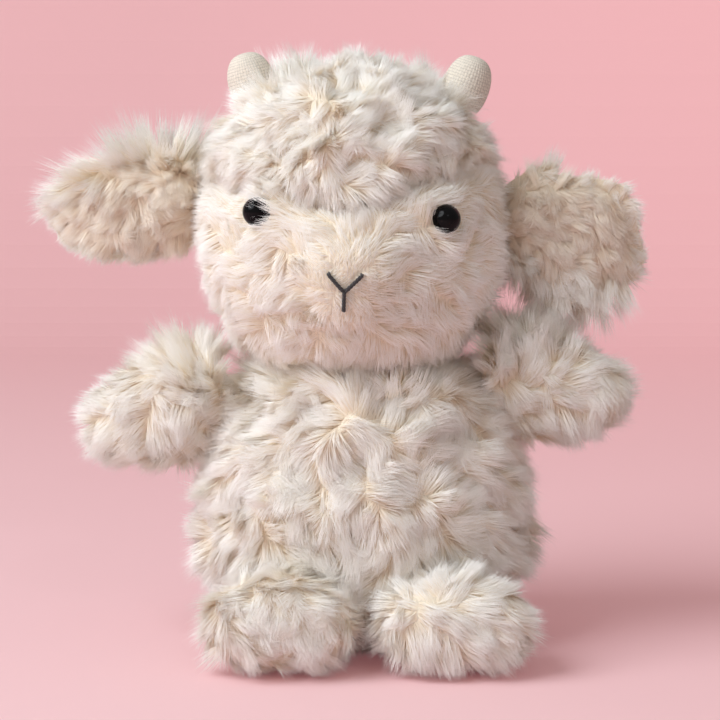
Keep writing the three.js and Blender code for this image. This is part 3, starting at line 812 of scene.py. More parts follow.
def horn_outline(steps):
    """Radius and level down a horn: a dome to its widest, then a root that draws in under it."""
    fall = np.linspace(0, math.pi * HORN_SWEEP, steps)
    girth = np.sin(fall)
    tip = fall <= math.pi / 2
    radius = HORN_DIAMETER / 2 * girth * fuller(girth, np.where(tip, HORN_FULLNESS, HORN_ROOT_FULLNESS))
    level = np.cos(fall) * np.where(tip, HORN_HEIGHT, HORN_ROOT)
    return radius, level


# Skins: the forms drawn in under their pile, each as points, normals and faces


class Skin:
    """Points, faces and normals of a closed sewn form."""

    def __init__(self, points, faces):
        self.points = points
        self.faces = faces
        self.normals = skin_normals(points, faces)

    def drawn_in(self, depth):
        """The same skin moved in along its normals by a depth."""
        depth = np.broadcast_to(np.asarray(depth, float), len(self.points))
        return Skin(self.points - self.normals * depth[:, None], self.faces)


def body_skin(grid, inset):
    """The body drawn in, domed by the shoulder ball and flat where it sits."""
    skin = Skin(body_form(ball(*grid)), ball_faces(*grid)).drawn_in(inset)
    away = skin.points - SHOULDER_MIDDLE
    far = np.linalg.norm(away, axis=1, keepdims=True)
    points = SHOULDER_MIDDLE + away * np.minimum(1, (SHOULDER_RADIUS - inset / 2) / np.maximum(far, TINY))
    points[:, 2] = np.maximum(points[:, 2], SOLE_LEVEL + inset / 4)
    return Skin(points, skin.faces)


def crease_level(across):
    """Height of the crease over the eyes, sloping up to both sides."""
    right, left = CREASE_SLOPES
    return CREASE_RISE + right * np.maximum(-across, 0) + left * np.maximum(across, 0)


def stitch_spots():
    """Places along the nose and mouth, in the head's own frame."""
    share = np.linspace(0, 1, STITCH_SPOTS)
    ends = NOSE_WIDTH / 2 * share
    ways = np.concatenate([
        face_way(NOSE_SHIFT + ends, NOSE_RISE * share - NOSE_DROP),
        face_way(NOSE_SHIFT - ends, NOSE_RISE * share - NOSE_DROP),
        face_way(NOSE_SHIFT + 0 * share, -NOSE_DROP - MOUTH_LENGTH * share),
    ])
    return head_form(ways)


def eye_spots():
    """Places of the right and left eye on the skin, in the head's own frame."""
    return head_form(face_way(np.array((-EYE_SPACING / 2, EYE_SPACING / 2)), np.full(2, EYE_RISE)))


def inside_eyes(local):
    """1 between the eyes and 0 outside them, for places in the head's own frame."""
    return smooth(EYE_SPACING / 2 - np.abs(local[:, 0]), *EYE_INNER)


def head_skin(grid, inset):
    """The head drawn in, less at eyes, nose and chin and more along its seams, hollow over the shoulders."""
    skin = Skin(head_form(ball(*grid)), ball_faces(*grid))
    points = skin.points
    front = smooth(-points[:, 1], *FACE_FRONT)
    depth = np.full(len(points), float(inset))
    chin = front * smooth(-points[:, 2], *CHIN_SKIN)
    depth = lerp(depth, min(CHIN_INSET, inset), chin)
    depth = depth + CROWN_DEPTH * smooth(points[:, 2], *CROWN_SKIN)
    crease = np.exp(-(((points[:, 2] - crease_level(points[:, 0])) / CREASE_WIDTH) ** 2))
    seam = np.exp(-(((np.abs(points[:, 0]) - CHEEK_SEAM) / CHEEK_SEAM_WIDTH) ** 2))
    below = smooth(crease_level(points[:, 0]) - points[:, 2], *CREASE_SKIN)
    depth += front * (CREASE_DEPTH * crease + CHEEK_SEAM_DEPTH * seam * below)
    _, nose_gap = nearest(points, stitch_spots())
    _, eye_gap = nearest(points, eye_spots())
    depth = np.minimum(depth, lerp(min(NOSE_INSET, inset), depth, smooth(nose_gap, *NOSE_SKIN)))
    depth = np.minimum(depth, lerp(min(EYE_INSET, inset), depth, smooth(eye_gap, *EYE_NEAR)))
    points = from_head(skin.drawn_in(depth).points)
    away = points - SHOULDER_MIDDLE
    far = np.linalg.norm(away, axis=1, keepdims=True)
    points = SHOULDER_MIDDLE + away * np.maximum(1, (SHOULDER_RADIUS + NECK_GAP) / np.maximum(far, TINY))
    return Skin(points, skin.faces)


def limb_skin(name, form, grid, inset, ends=LIMB_ENDS):
    """A limb drawn in and put in its place, flat where a foot stands."""
    place, axes = limb_place(name)
    skin = Skin(limb_form(ball(*grid, pole=3), form), ball_faces(*grid))
    share = smooth(skin.points[:, 0], 0, form[0])
    side = smooth(np.abs(skin.points[:, 1]), 0, form[2] / 2) * (skin.points[:, 0] > -form[1] / 2)
    skin = skin.drawn_in(inset * lerp(*ends, np.maximum(share, side)))
    points = skin.points @ axes + place
    points[:, 2] = np.maximum(points[:, 2], SOLE_LEVEL + inset / 4)
    return Skin(points, skin.faces)


def ear_skin(name, facing, scale):
    """One layer of an ear in its place."""
    place, axes = limb_place(name)
    points = ear_form(ball(*EAR_GRID, pole=4), EARS[name][3], facing, scale, EAR_INSET)
    faces = ball_faces(*EAR_GRID)
    if np.linalg.det(axes) < 0:
        faces = [part[:, ::-1] for part in faces]
    return Skin(points @ axes + place, faces)


# Pile: strands rooted on a skin, gathered into tufts that lie along a flow


class Pile:
    """Roots of strands spread over a skin, with the skin's normals there."""

    def __init__(self, skin, count, weight, seed):
        """Even shares of the weighted area, one root at a seeded place in each share's triangle."""
        self.rng = np.random.default_rng(seed)
        corners = triangles_of(skin.faces)
        first, second, third = (skin.points[corners[:, k]] for k in range(3))
        area = np.linalg.norm(np.cross(second - first, third - first), axis=1)
        share = np.cumsum(area * weight((first + second + third) / 3))
        spots = (np.arange(count) + self.rng.random(count)) / count * share[-1]
        pick = np.minimum(np.searchsorted(share, spots), len(corners) - 1)
        right, up = self.rng.random((2, count))
        over = right + up > 1
        right[over] = 1 - right[over]
        up[over] = 1 - up[over]
        mix = np.stack([1 - right - up, right, up], axis=1)[:, :, None]
        self.roots = (skin.points[corners[pick]] * mix).sum(axis=1)
        self.normals = unit((skin.normals[corners[pick]] * mix).sum(axis=1))


def strand_ends(pile, flow, length, tuft, rise, rest, clump, tousle):
    """Roots and tips of the strands, and where each root lies from its tuft's middle, in widths of a tuft.

    A strand runs along the flow, turned up from the skin by an angle between rise and rest and sideways by a
    curl. Its tip is then drawn beside the tip of the tuft's middle strand, so that a tuft ends as one blunt
    petal.
    """
    rng = pile.rng
    count = len(pile.roots)
    leads = rng.choice(count, max(count // tuft, 1), replace=False)
    mine, _ = nearest(pile.roots, pile.roots[leads])
    lead = leads[mine]

    def stray(by_tuft, by_strand):
        """A seeded normal part for each tuft and a smaller one for each strand."""
        return tousle * (rng.normal(0, by_tuft, len(leads))[mine] + rng.normal(0, by_strand, count))

    ways = flattened(flow, pile.normals)
    ways = flattened(lerp(ways, ways[lead], LEAD_PULL), pile.normals)
    side = np.cross(pile.normals, ways)
    turn = stray(*TURN_STRAY)
    ways = np.cos(turn)[:, None] * ways + np.sin(turn)[:, None] * side
    side = np.cross(pile.normals, ways)
    reach = length * rng.uniform(*TUFT_REACH, len(leads))[mine] * rng.uniform(*STRAND_REACH, count)
    tilt = lerp(rise, rest, BEND_SHARE) + stray(*LIFT_STRAY)
    bend = stray(*CURL_STRAY) / 2
    along = np.cos(bend)[:, None] * ways + np.sin(bend)[:, None] * side
    stride = np.cos(tilt)[:, None] * along + np.sin(tilt)[:, None] * pile.normals
    roots = pile.roots.copy()
    tips = roots + stride * reach[:, None]
    ratio = np.clip(reach / reach[lead], *REACH_RATIO)[:, None]
    offset = roots - roots[lead]
    drawn = roots[lead] + offset * (1 - TUFT_DRAW) + (tips[lead] - roots[lead]) * ratio
    loose = rng.random(count) < LOOSE_SHARE
    pull = np.where(loose, LOOSE_PULL, clump * rng.uniform(*CLUMP_SPREAD, count))[:, None]
    tips = lerp(tips, drawn, np.clip(pull, 0, 1))
    tips = tips + rng.normal(0, TIP_SCATTER, (count, 2, 3))[:, 1]
    roots[:, 2] = np.maximum(roots[:, 2], FLOOR_GAP)
    tips[:, 2] = np.maximum(tips[:, 2], FLOOR_GAP)
    wide = np.sqrt((offset**2).sum(axis=1).mean()) * 1.5
    return roots, tips, offset / wide


def grow(name, pile, flow, length, material, body, width,
         tuft=110, rise=PILE_RISE, rest=PILE_REST, clump=0.55, tousle=1.0):
    """Strands as closed flat spikes of three sides, one of them up, which is shaded as its tuft is round."""
    count = len(pile.roots)
    under = pile.rng.random(count) < UNDER_SHARE
    length = np.broadcast_to(np.asarray(length, float), count) * np.where(under, UNDER_LENGTH, 1)
    rise = np.broadcast_to(np.asarray(rise, float), count)
    rest = np.broadcast_to(np.asarray(rest, float), count)
    roots, tips, offset = strand_ends(pile, flow, length, tuft, rise, rest, clump, tousle)
    ahead = unit(tips - roots)
    side = unit(np.cross(ahead, pile.normals))
    up = np.cross(side, ahead)
    angles = np.arange(STRAND_SIDES) * math.tau / STRAND_SIDES - math.pi / 2
    ring = np.cos(angles)[:, None] * side[:, None]
    ring = ring + STRAND_FLATNESS * np.sin(angles)[:, None] * up[:, None]
    broad = pile.rng.uniform(*STRAND_BREADTH, count) * np.where(under, UNDER_WIDTH, 1)
    girth = (width / 2 * broad)[:, None, None]
    points = np.concatenate([roots[:, None] + girth * ring, tips[:, None]], axis=1)
    points[..., 2] = np.maximum(points[..., 2], EDGE_GAP)
    firsts = (np.arange(count) * (STRAND_SIDES + 1))[:, None, None]
    faces = [(STRAND_FACES + firsts).reshape(-1, 3)]
    tint = pile.rng.random(count)[:, None]
    map_ = np.empty((count, STRAND_SIDES + 1, 2))
    across = np.array((0, 1, -1, 0)) * STRAND_MAP_HALF
    map_[..., 0] = STRAND_MAP_EDGE + (1 - 2 * STRAND_MAP_EDGE) * tint + across
    map_[..., 1] = (0, 0, 0, 1)
    piece = new_piece(name, points.reshape(-1, 3), faces, material, body, map_.reshape(-1, 2))
    piece.data.normals_split_custom_set(strand_normals(pile, ahead, side, up, offset))
    return piece


def strand_normals(pile, ahead, side, up, offset):
    """Normals at the corners of the strands' faces: the two lower sides flat, the upper one by its tuft.

    The upper side leans from the strand's own way up towards the skin's normal and out from the tuft's
    middle, and a little to each side.
    """
    lobe = unit(LOBE_UP * up + LOBE_SKIN * pile.normals + LOBE_OUT * offset)
    out, down = LOWER_SIDE
    corners = np.empty((len(ahead), len(STRAND_FACES), 3, 3))
    corners[:, 0] = unit(out * side - down * up)[:, None]
    corners[:, 1] = np.stack(
        [unit(lobe + STRAND_CURVE * side), lobe, unit(lobe - STRAND_CURVE * side)], axis=1)
    corners[:, 2] = unit(-out * side - down * up)[:, None]
    corners[:, 3] = -ahead[:, None]
    return corners.reshape(-1, 3)


# Materials


class Shading:
    """A node tree with short ways to add nodes and links."""

    def __init__(self, tree):
        self.tree = tree

    def add(self, kind, inputs=(), **settings):
        """A node with its settings, and its inputs set to values or linked to sockets."""
        node = self.tree.nodes.new(kind)
        for key, value in settings.items():
            setattr(node, key, value)
        for key, value in dict(inputs).items():
            if isinstance(value, bpy.types.NodeSocket):
                self.link(value, node.inputs[key])
            else:
                node.inputs[key].default_value = value
        return node

    def link(self, output, socket):
        """Links an output to a socket."""
        self.tree.links.new(output, socket)

    def object_place(self):
        """Object coordinates."""
        return self.add("ShaderNodeTexCoord").outputs["Object"]

    def noise(self, place, scale, detail=2.0):
        """Noise at a place."""
        inputs = {"Vector": place, "Scale": scale, "Detail": detail}
        return self.add("ShaderNodeTexNoise", inputs).outputs[0]

    def math(self, operation, *values):
        """The output of a Math node."""
        return self.add("ShaderNodeMath", enumerate(values), operation=operation).outputs[0]

    def mix(self, share, first, second):
        """The output of a colour Mix node."""
        node = self.add("ShaderNodeMix", {0: share, 6: first, 7: second}, data_type="RGBA")
        return node.outputs[2]

    def spread(self, value, low, high, first, second):
        """A value carried from one range to another, and held at its ends."""
        inputs = {0: value, 1: low, 2: high, 3: first, 4: second}
        return self.add("ShaderNodeMapRange", inputs).outputs[0]


def new_group(name, inputs, outputs):
    """A shader node group with named sockets, and its input and output nodes."""
    tree = bpy.data.node_groups.new(name, "ShaderNodeTree")
    for label, kind in inputs:
        tree.interface.new_socket(label, in_out="INPUT", socket_type=kind)
    for label, kind in outputs:
        tree.interface.new_socket(label, in_out="OUTPUT", socket_type=kind)
    shading = Shading(tree)
    return shading, shading.add("NodeGroupInput").outputs, shading.add("NodeGroupOutput")


def pile_tint_and_root_shade_group():
    """Colour along a strand, from a root darker and warmer with painted shade through its middle to its tip,
    in lighter and darker streaks.
    """
    if "Pile tint and root shade" in bpy.data.node_groups:
        return bpy.data.node_groups["Pile tint and root shade"]
    colour, number = "NodeSocketColor", "NodeSocketFloat"
    shading, given, out = new_group(
        "Pile tint and root shade",
        [("Along", number), ("Strand", number), ("Root", colour), ("Middle", colour), ("Tip", colour)],
        [("Colour", colour), ("Roughness", number)],
    )
    low = shading.spread(given["Along"], 0.05, 0.5, 0.0, 1.0)
    high = shading.spread(given["Along"], 0.45, 1.0, 0.0, 1.0)
    # Painted shade: darker and warmer from the middle down to the root.
    body = shading.mix(high, shading.mix(low, given["Root"], given["Middle"]), given["Tip"])
    streak = shading.add("ShaderNodeTexNoise", {"W": given["Strand"], "Scale": 170.0, "Detail": 1.0},
                         noise_dimensions="1D").outputs[0]
    light = shading.spread(streak, 0.25, 0.75, 0.95, 1.03)
    warm = shading.spread(streak, 0.25, 0.75, 1.12, 0.92)
    tinted = shading.add(
        "ShaderNodeHueSaturation", {"Value": light, "Saturation": warm, "Color": body})
    shading.link(tinted.outputs[0], out.inputs["Colour"])
    shading.link(shading.spread(streak, 0.25, 0.75, 0.78, 0.92), out.inputs["Roughness"])
    return shading.tree


def plain_weave_group():
    """Threads that pass over and under each other: those across where a check is odd, else those along."""
    if "Plain weave" in bpy.data.node_groups:
        return bpy.data.node_groups["Plain weave"]
    vector, number = "NodeSocketVector", "NodeSocketFloat"
    shading, given, out = new_group("Plain weave", [("Threads", vector)], [("Height", number)])
    parts = shading.add("ShaderNodeSeparateXYZ", {0: given["Threads"]}).outputs
    bumps = [shading.math("ABSOLUTE", shading.math("SINE", shading.math("MULTIPLY", part, math.pi)))
             for part in (parts[0], parts[1])]
    check = shading.math("ADD", shading.math("FLOOR", parts[0]), shading.math("FLOOR", parts[1]))
    odd = shading.math("FLOORED_MODULO", check, 2.0)
    over = shading.math("MULTIPLY", odd, bumps[0])
    under = shading.math("MULTIPLY", shading.math("SUBTRACT", 1.0, odd), bumps[1])
    shading.link(shading.math("ADD", over, under), out.inputs["Height"])
    return shading.tree


def new_material(name, roughness=0.85, **constants):
    """A material with a Principled BSDF, and its node tree."""
    material = bpy.data.materials.new(name)
    material.use_nodes = True
    principled = material.node_tree.nodes["Principled BSDF"]
    principled.inputs["Roughness"].default_value = roughness
    for label, value in constants.items():
        principled.inputs[label.replace("_", " ").title().replace("Ior", "IOR")].default_value = value
    return material, Shading(material.node_tree), principled


def with_alpha(colour):
    """A colour property as the four numbers of a socket."""
    return (*colour, 1.0)


def pile_material(name, root, middle, tip):
    """Strands coloured by their own map: across it by strand, up it from the painted shade at the root to the
    tip.
    """
    if name in bpy.data.materials:
        return bpy.data.materials[name]
    material, shading, principled = new_material(name, sheen_weight=0.25, sheen_roughness=0.5)
    place = shading.add("ShaderNodeUVMap", uv_map=BAKE_MAP).outputs[0]
    parts = shading.add("ShaderNodeSeparateXYZ", {0: place}).outputs
    group = shading.add("ShaderNodeGroup", node_tree=pile_tint_and_root_shade_group())
    for label, value in (("Root", root), ("Middle", middle), ("Tip", tip)):
        group.inputs[label].default_value = with_alpha(value)
    shading.link(parts[0], group.inputs["Strand"])
    shading.link(parts[1], group.inputs["Along"])
    shading.link(group.outputs["Colour"], principled.inputs["Base Color"])
    shading.link(group.outputs["Roughness"], principled.inputs["Roughness"])
    return material


def plush_material(settings):
    """The long cream pile."""
    return pile_material(
        "Long pile", settings.root_shade_colour, settings.middle_colour, settings.tip_colour)


def lining_material(settings):
    """The matted pile inside the ears, darker towards its roots with painted shade."""
    return pile_material(
        "Matted lining", settings.lining_colour, settings.lining_colour, settings.middle_colour)


def cloth_material(name, colour, pitch):
    """Woven or knitted cloth on object coordinates, its threads raised, with painted shade between them and
    darker blotches at random.
    """
    if name in bpy.data.materials:
        return bpy.data.materials[name]
    material, shading, principled = new_material(name, roughness=0.9, sheen_weight=0.2)
    place = shading.object_place()
    scaled = shading.add("ShaderNodeMapping", {0: place, 3: (1 / pitch,) * 3}).outputs[0]
    weave = shading.add("ShaderNodeGroup", {0: scaled}, node_tree=plain_weave_group()).outputs[0]
    blotch = shading.noise(place, 60.0)
    # Painted shade: the low parts of the weave between the threads take the darker colour, and blotches
    # darken it at random.
    dark = with_alpha(np.array(colour) * 0.8)
    shade = shading.math("MULTIPLY", weave, shading.spread(blotch, 0.3, 0.7, 0.6, 1.0))
    shading.link(shading.mix(shade, dark, with_alpha(colour)), principled.inputs["Base Color"])
    bump = shading.add("ShaderNodeBump", {"Height": weave, "Distance": pitch * 0.3, "Strength": 0.5})
    shading.link(bump.outputs[0], principled.inputs["Normal"])
    return material


def canvas_material(settings):
    """The horns' canvas, its gaps darker with painted shade, on the map that counts its threads."""
    material, shading, principled = new_material("Horn canvas", roughness=0.9, sheen_weight=0.15)
    place = shading.add("ShaderNodeUVMap", uv_map="Threads").outputs[0]
    weave = shading.add("ShaderNodeGroup", {0: place}, node_tree=plain_weave_group()).outputs[0]
    object_place = shading.object_place()
    fleck = shading.noise(object_place, 900.0)
    light = shading.mix(
        shading.spread(fleck, 0.3, 0.7, 0.0, 1.0),
        with_alpha(np.array(settings.canvas_colour) * 0.86),
        with_alpha(settings.canvas_colour),
    )
    # Painted shade in the gaps between the threads.
    dark = with_alpha(np.array(settings.canvas_colour) * 0.55)
    share = shading.spread(weave, 0.0, 0.7, 0.0, 1.0)
    shading.link(shading.mix(share, dark, light), principled.inputs["Base Color"])
    return material


def bead_material(settings):
    """Polished black plastic with faint moulding marks in its gloss."""
    material, shading, principled = new_material("Eye bead", specular_ior_level=0.12)
    place = shading.object_place()
    marks = shading.noise(place, 350.0)
    shading.link(shading.spread(marks, 0.3, 0.7, 0.04, 0.09), principled.inputs["Roughness"])
    darker = with_alpha(np.array(settings.bead_colour) * 0.7)
    colour = shading.mix(marks, darker, with_alpha(settings.bead_colour))
    shading.link(colour, principled.inputs["Base Color"])
    return material


def thread_material(settings):
    """Charcoal thread with fine lighter fibres along each ply, on its own map."""
    material, shading, principled = new_material("Nose thread", roughness=0.75, sheen_weight=0.3)
    place = shading.add("ShaderNodeUVMap", uv_map="Ply").outputs[0]
    fibres = shading.add("ShaderNodeMapping", {0: place, 3: (1.0, 14.0, 1.0)}).outputs[0]
    streak = shading.noise(fibres, 6.0)
    lighter = with_alpha(np.array(settings.thread_colour) * 2.2)
    share = shading.spread(streak, 0.45, 0.75, 0.0, 1.0)
    colour = shading.mix(share, with_alpha(settings.thread_colour), lighter)
    shading.link(colour, principled.inputs["Base Color"])
    return material


def fibre_material():
    """Loose white filling, with soft shadows between its lumps."""
    if "Filling fibre" in bpy.data.materials:
        return bpy.data.materials["Filling fibre"]
    material, shading, principled = new_material("Filling fibre", roughness=0.95, sheen_weight=0.3)
    place = shading.object_place()
    lumps = shading.noise(place, 180.0, 4.0)
    share = shading.spread(lumps, 0.35, 0.65, 0.0, 1.0)
    grey, pale = (with_alpha(linear(*colour)) for colour in FIBRE_COLOURS)
    shading.link(shading.mix(share, grey, pale), principled.inputs["Base Color"])
    bump = shading.add("ShaderNodeBump", {"Height": lumps, "Distance": 0.001, "Strength": 0.6})
    shading.link(bump.outputs[0], principled.inputs["Normal"])
    return material


def washer_material():
    """Moulded white plastic, slightly mottled."""
    material, shading, principled = new_material("Washer plastic", roughness=0.45)
    place = shading.object_place()
    marks = shading.noise(place, 400.0)
    grey, pale = (with_alpha(linear(*colour)) for colour in WASHER_COLOURS)
    shading.link(shading.mix(marks, grey, pale), principled.inputs["Base Color"])
    return material


def sew_skin(name, skin, settings, body, nodes):
    """A skin as a padded piece that stands for its solids."""
    # The backing cloth takes the roots' colour: painted shade under the pile.
    cloth = cloth_material("Pile backing", settings.root_shade_colour, BACKING_PITCH)
    piece = new_piece(name, skin.points, skin.faces, cloth, body)
    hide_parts(*nodes)
    return piece


# Operators: one for each piece or group of like pieces


class LAMB_OT_stage(bpy.types.Operator):
    """Seamless floor and backdrop, camera and lights"""

    bl_idname = "lamb.stage"
    bl_label = "Stage"

    def execute(self, context):
        settings = context.scene.lamb_stage
        self.backdrop(settings)
        self.camera(context, settings)
        self.lights(context, settings)
        context.scene.view_settings.view_transform = "Standard"
        context.scene.cycles.max_bounces = PILE_BOUNCES
        context.scene.cycles.diffuse_bounces = PILE_BOUNCES
        return {"FINISHED"}

    def backdrop(self, settings):
        """A profile carried sideways: floor, a quarter circle, and wall."""
        turn = np.linspace(0, math.pi / 2, BACKDROP_STEPS)
        bend = BACKDROP_BEND * np.stack([np.sin(turn), 1 - np.cos(turn)], axis=1) + (BACKDROP_BACK, 0)
        wall = BACKDROP_BACK + BACKDROP_BEND
        profile = np.concatenate([[(BACKDROP_FRONT, 0)], bend, [(wall, BACKDROP_TOP)]])
        points = np.empty((len(profile), 2, 3))
        points[..., 0] = (-BACKDROP_HALF, BACKDROP_HALF)
        points[..., 1:] = profile[:, None]
        grid = np.arange(len(profile) * 2).reshape(-1, 2)
        quads = np.stack([grid[:-1, 0], grid[:-1, 1], grid[1:, 1], grid[1:, 0]], axis=1)
        material, shading, principled = new_material("Backdrop paper", roughness=0.95)
        place = shading.object_place()
        grain = shading.noise(place, 4.0)
        shade = with_alpha(np.array(settings.backdrop_colour) * 0.97)
        colour = shading.mix(grain, shade, with_alpha(settings.backdrop_colour))
        shading.link(colour, principled.inputs["Base Color"])
        # Painted light: the backdrop glows for camera and glossy rays only, more towards the wall and to the
        # right, brightening it and the toy's shadow on it in view without lighting the toy.
        principled.inputs["Emission Color"].default_value = with_alpha(settings.painted_glow_colour)
        rays = shading.add("ShaderNodeLightPath").outputs
        mirrored = shading.math("MAXIMUM", rays["Is Glossy Ray"], rays["Is Transmission Ray"])
        seen = shading.math("MAXIMUM", rays["Is Camera Ray"], mirrored)
        across, depth = shading.add("ShaderNodeSeparateXYZ", {0: place}).outputs[:2]
        strength = shading.math(
            "ADD", shading.spread(depth, -0.3, 1.5, 0.06, 0.32), shading.spread(across, -0.2, 0.4, 0.0, 0.12))
        glow = shading.math("MULTIPLY", seen, strength)
        shading.link(glow, principled.inputs["Emission Strength"])
        mesh = bpy.data.meshes.new("backdrop")
        mesh.from_pydata((points.reshape(-1, 3) * MM).tolist(), [], quads.tolist())
        mesh.materials.append(material)
        paper = bpy.data.objects.new("backdrop", mesh)
        bpy.context.scene.collection.objects.link(paper)

    def camera(self, context, settings):
        """A camera aimed at the middle of the view from a rise above level."""
        lens = bpy.data.cameras.new("camera")
        lens.lens = settings.lens
        lens.sensor_width = SENSOR_WIDTH
        lens.clip_start = NEAR_CLIP
        camera = bpy.data.objects.new("camera", lens)
        context.scene.collection.objects.link(camera)
        aim = Vector(CAMERA_AIM)
        back = Vector((0, -math.cos(settings.camera_rise), math.sin(settings.camera_rise)))
        camera.location = aim + back * settings.camera_distance
        camera.rotation_euler = (-back).to_track_quat("-Z", "Y").to_euler()
        context.scene.camera = camera

    def lights(self, context, settings):
        """A soft key from the upper left, a small weak fill in front and an even sky."""
        lamps = (
            ("key light", KEY_PLACE, KEY_SIZE, settings.key_power),
            ("fill light", FILL_PLACE, FILL_SIZE, settings.fill_power),
        )
        for name, place, size, power in lamps:
            lamp = bpy.data.lights.new(name, "AREA")
            lamp.shape = "DISK"
            lamp.size = size
            lamp.energy = power
            lamp.color = settings.lamp_colour
            light = bpy.data.objects.new(name, lamp)
            context.scene.collection.objects.link(light)
            light.location = place
            aim = Vector(LAMP_AIM) - Vector(place)
            light.rotation_euler = aim.to_track_quat("-Z", "Y").to_euler()
        world = bpy.data.worlds.new("studio")
        world.use_nodes = True
        sky = world.node_tree.nodes["Background"]
        sky.inputs["Color"].default_value = with_alpha(linear(*SKY_COLOUR))
        sky.inputs["Strength"].default_value = settings.sky_strength
        context.scene.world = world


class LAMB_OT_body(bpy.types.Operator):
    """The body's skin and the long pile on its front and back"""

    bl_idname = "lamb.body"
    bl_label = "Body"

    def execute(self, context):
        settings = context.scene.lamb_pile
        skin = body_skin(BODY_GRID, BODY_INSET)
        sew_skin("body_skin", skin, settings, "torso", ["body_cover"])
        seats = limb_spots((*ARMS, *FEET))

        def open_skin(points):
            """1 where pile shows, 0 under the head and limbs and on the flat seat."""
            _, gap = nearest(points, seats)
            neck = np.hypot(points[:, 0] - NECK[0], points[:, 1] - NECK[1])
            hidden = (gap < LIMB_HOLE) | (points[:, 2] < BODY_RIM)
            hidden = hidden | ((points[:, 2] > NECK_HOLE_LEVEL) & (neck < NECK_HOLE))
            return np.where(hidden, 0.0, 1.0)

        front, left = np.array((0, -1, 0)), np.array((1, 0, 0))
        parts = (
            ("body_pile_left", (front, left), 11),
            ("body_pile_right", (front, -left), 12),
            ("body_pile_back", (-front,), 13),
        )
        for name, sides, seed in parts:

            def weight(points):
                """The open skin on this part's sides of the middle."""
                inside = [(points - TOY_MIDDLE) @ side > 0 for side in sides]
                return open_skin(points) * np.all(inside, axis=0)

            pile = Pile(skin, BODY_STRANDS, weight, seed)
            free = smooth(pile.roots[:, 2:], *SEAT_FRINGE)
            flow = 0.7 * whorls(pile.roots, BODY_WHORLS, BODY_SEED)
            flow = flow + 0.6 * drift(pile.roots, BODY_DRIFT, BODY_SEED)
            flow = free * flow - lerp(1.0, 0.5, free) * UP
            shoulder = smooth(pile.roots[:, 2], *SHOULDER_LEVELS)
            under = np.arcsin(np.clip(-pile.normals[:, 2], 0, 1))
            rise = lerp(PILE_RISE, 1.4, shoulder) + under
            for centre in BODY_SWIRLS:
                away = swirl(pile.roots, centre, BODY_SWIRL_REACH)
                flow = flow + 1.3 * away
                rise = rise + 0.35 * bell(pile.roots, centre, SWIRL_TOP)
            for limb in ARMS:
                place, axes = limb_place(limb)
                near = bell(pile.roots, place, ARM_PULL_REACH)
                flow = flow + ARM_PULL * near[:, None] * axes[0]
            beside = shoulder * (1 - smooth(nearest(pile.roots, limb_spots(ARMS))[1], *ARM_NEAR))
            length = settings.body_length / MM * (1 + 0.4 * beside)
            length = length * lerp(0.75, 1, smooth(pile.roots[:, 2], *SEAT_SHORT))
            grow(name, pile, flow, length, plush_material(settings), "torso",
                 settings.strand_width / MM, rise=rise, rest=lerp(PILE_REST, 0.6, shoulder) + under)
        return {"FINISHED"}


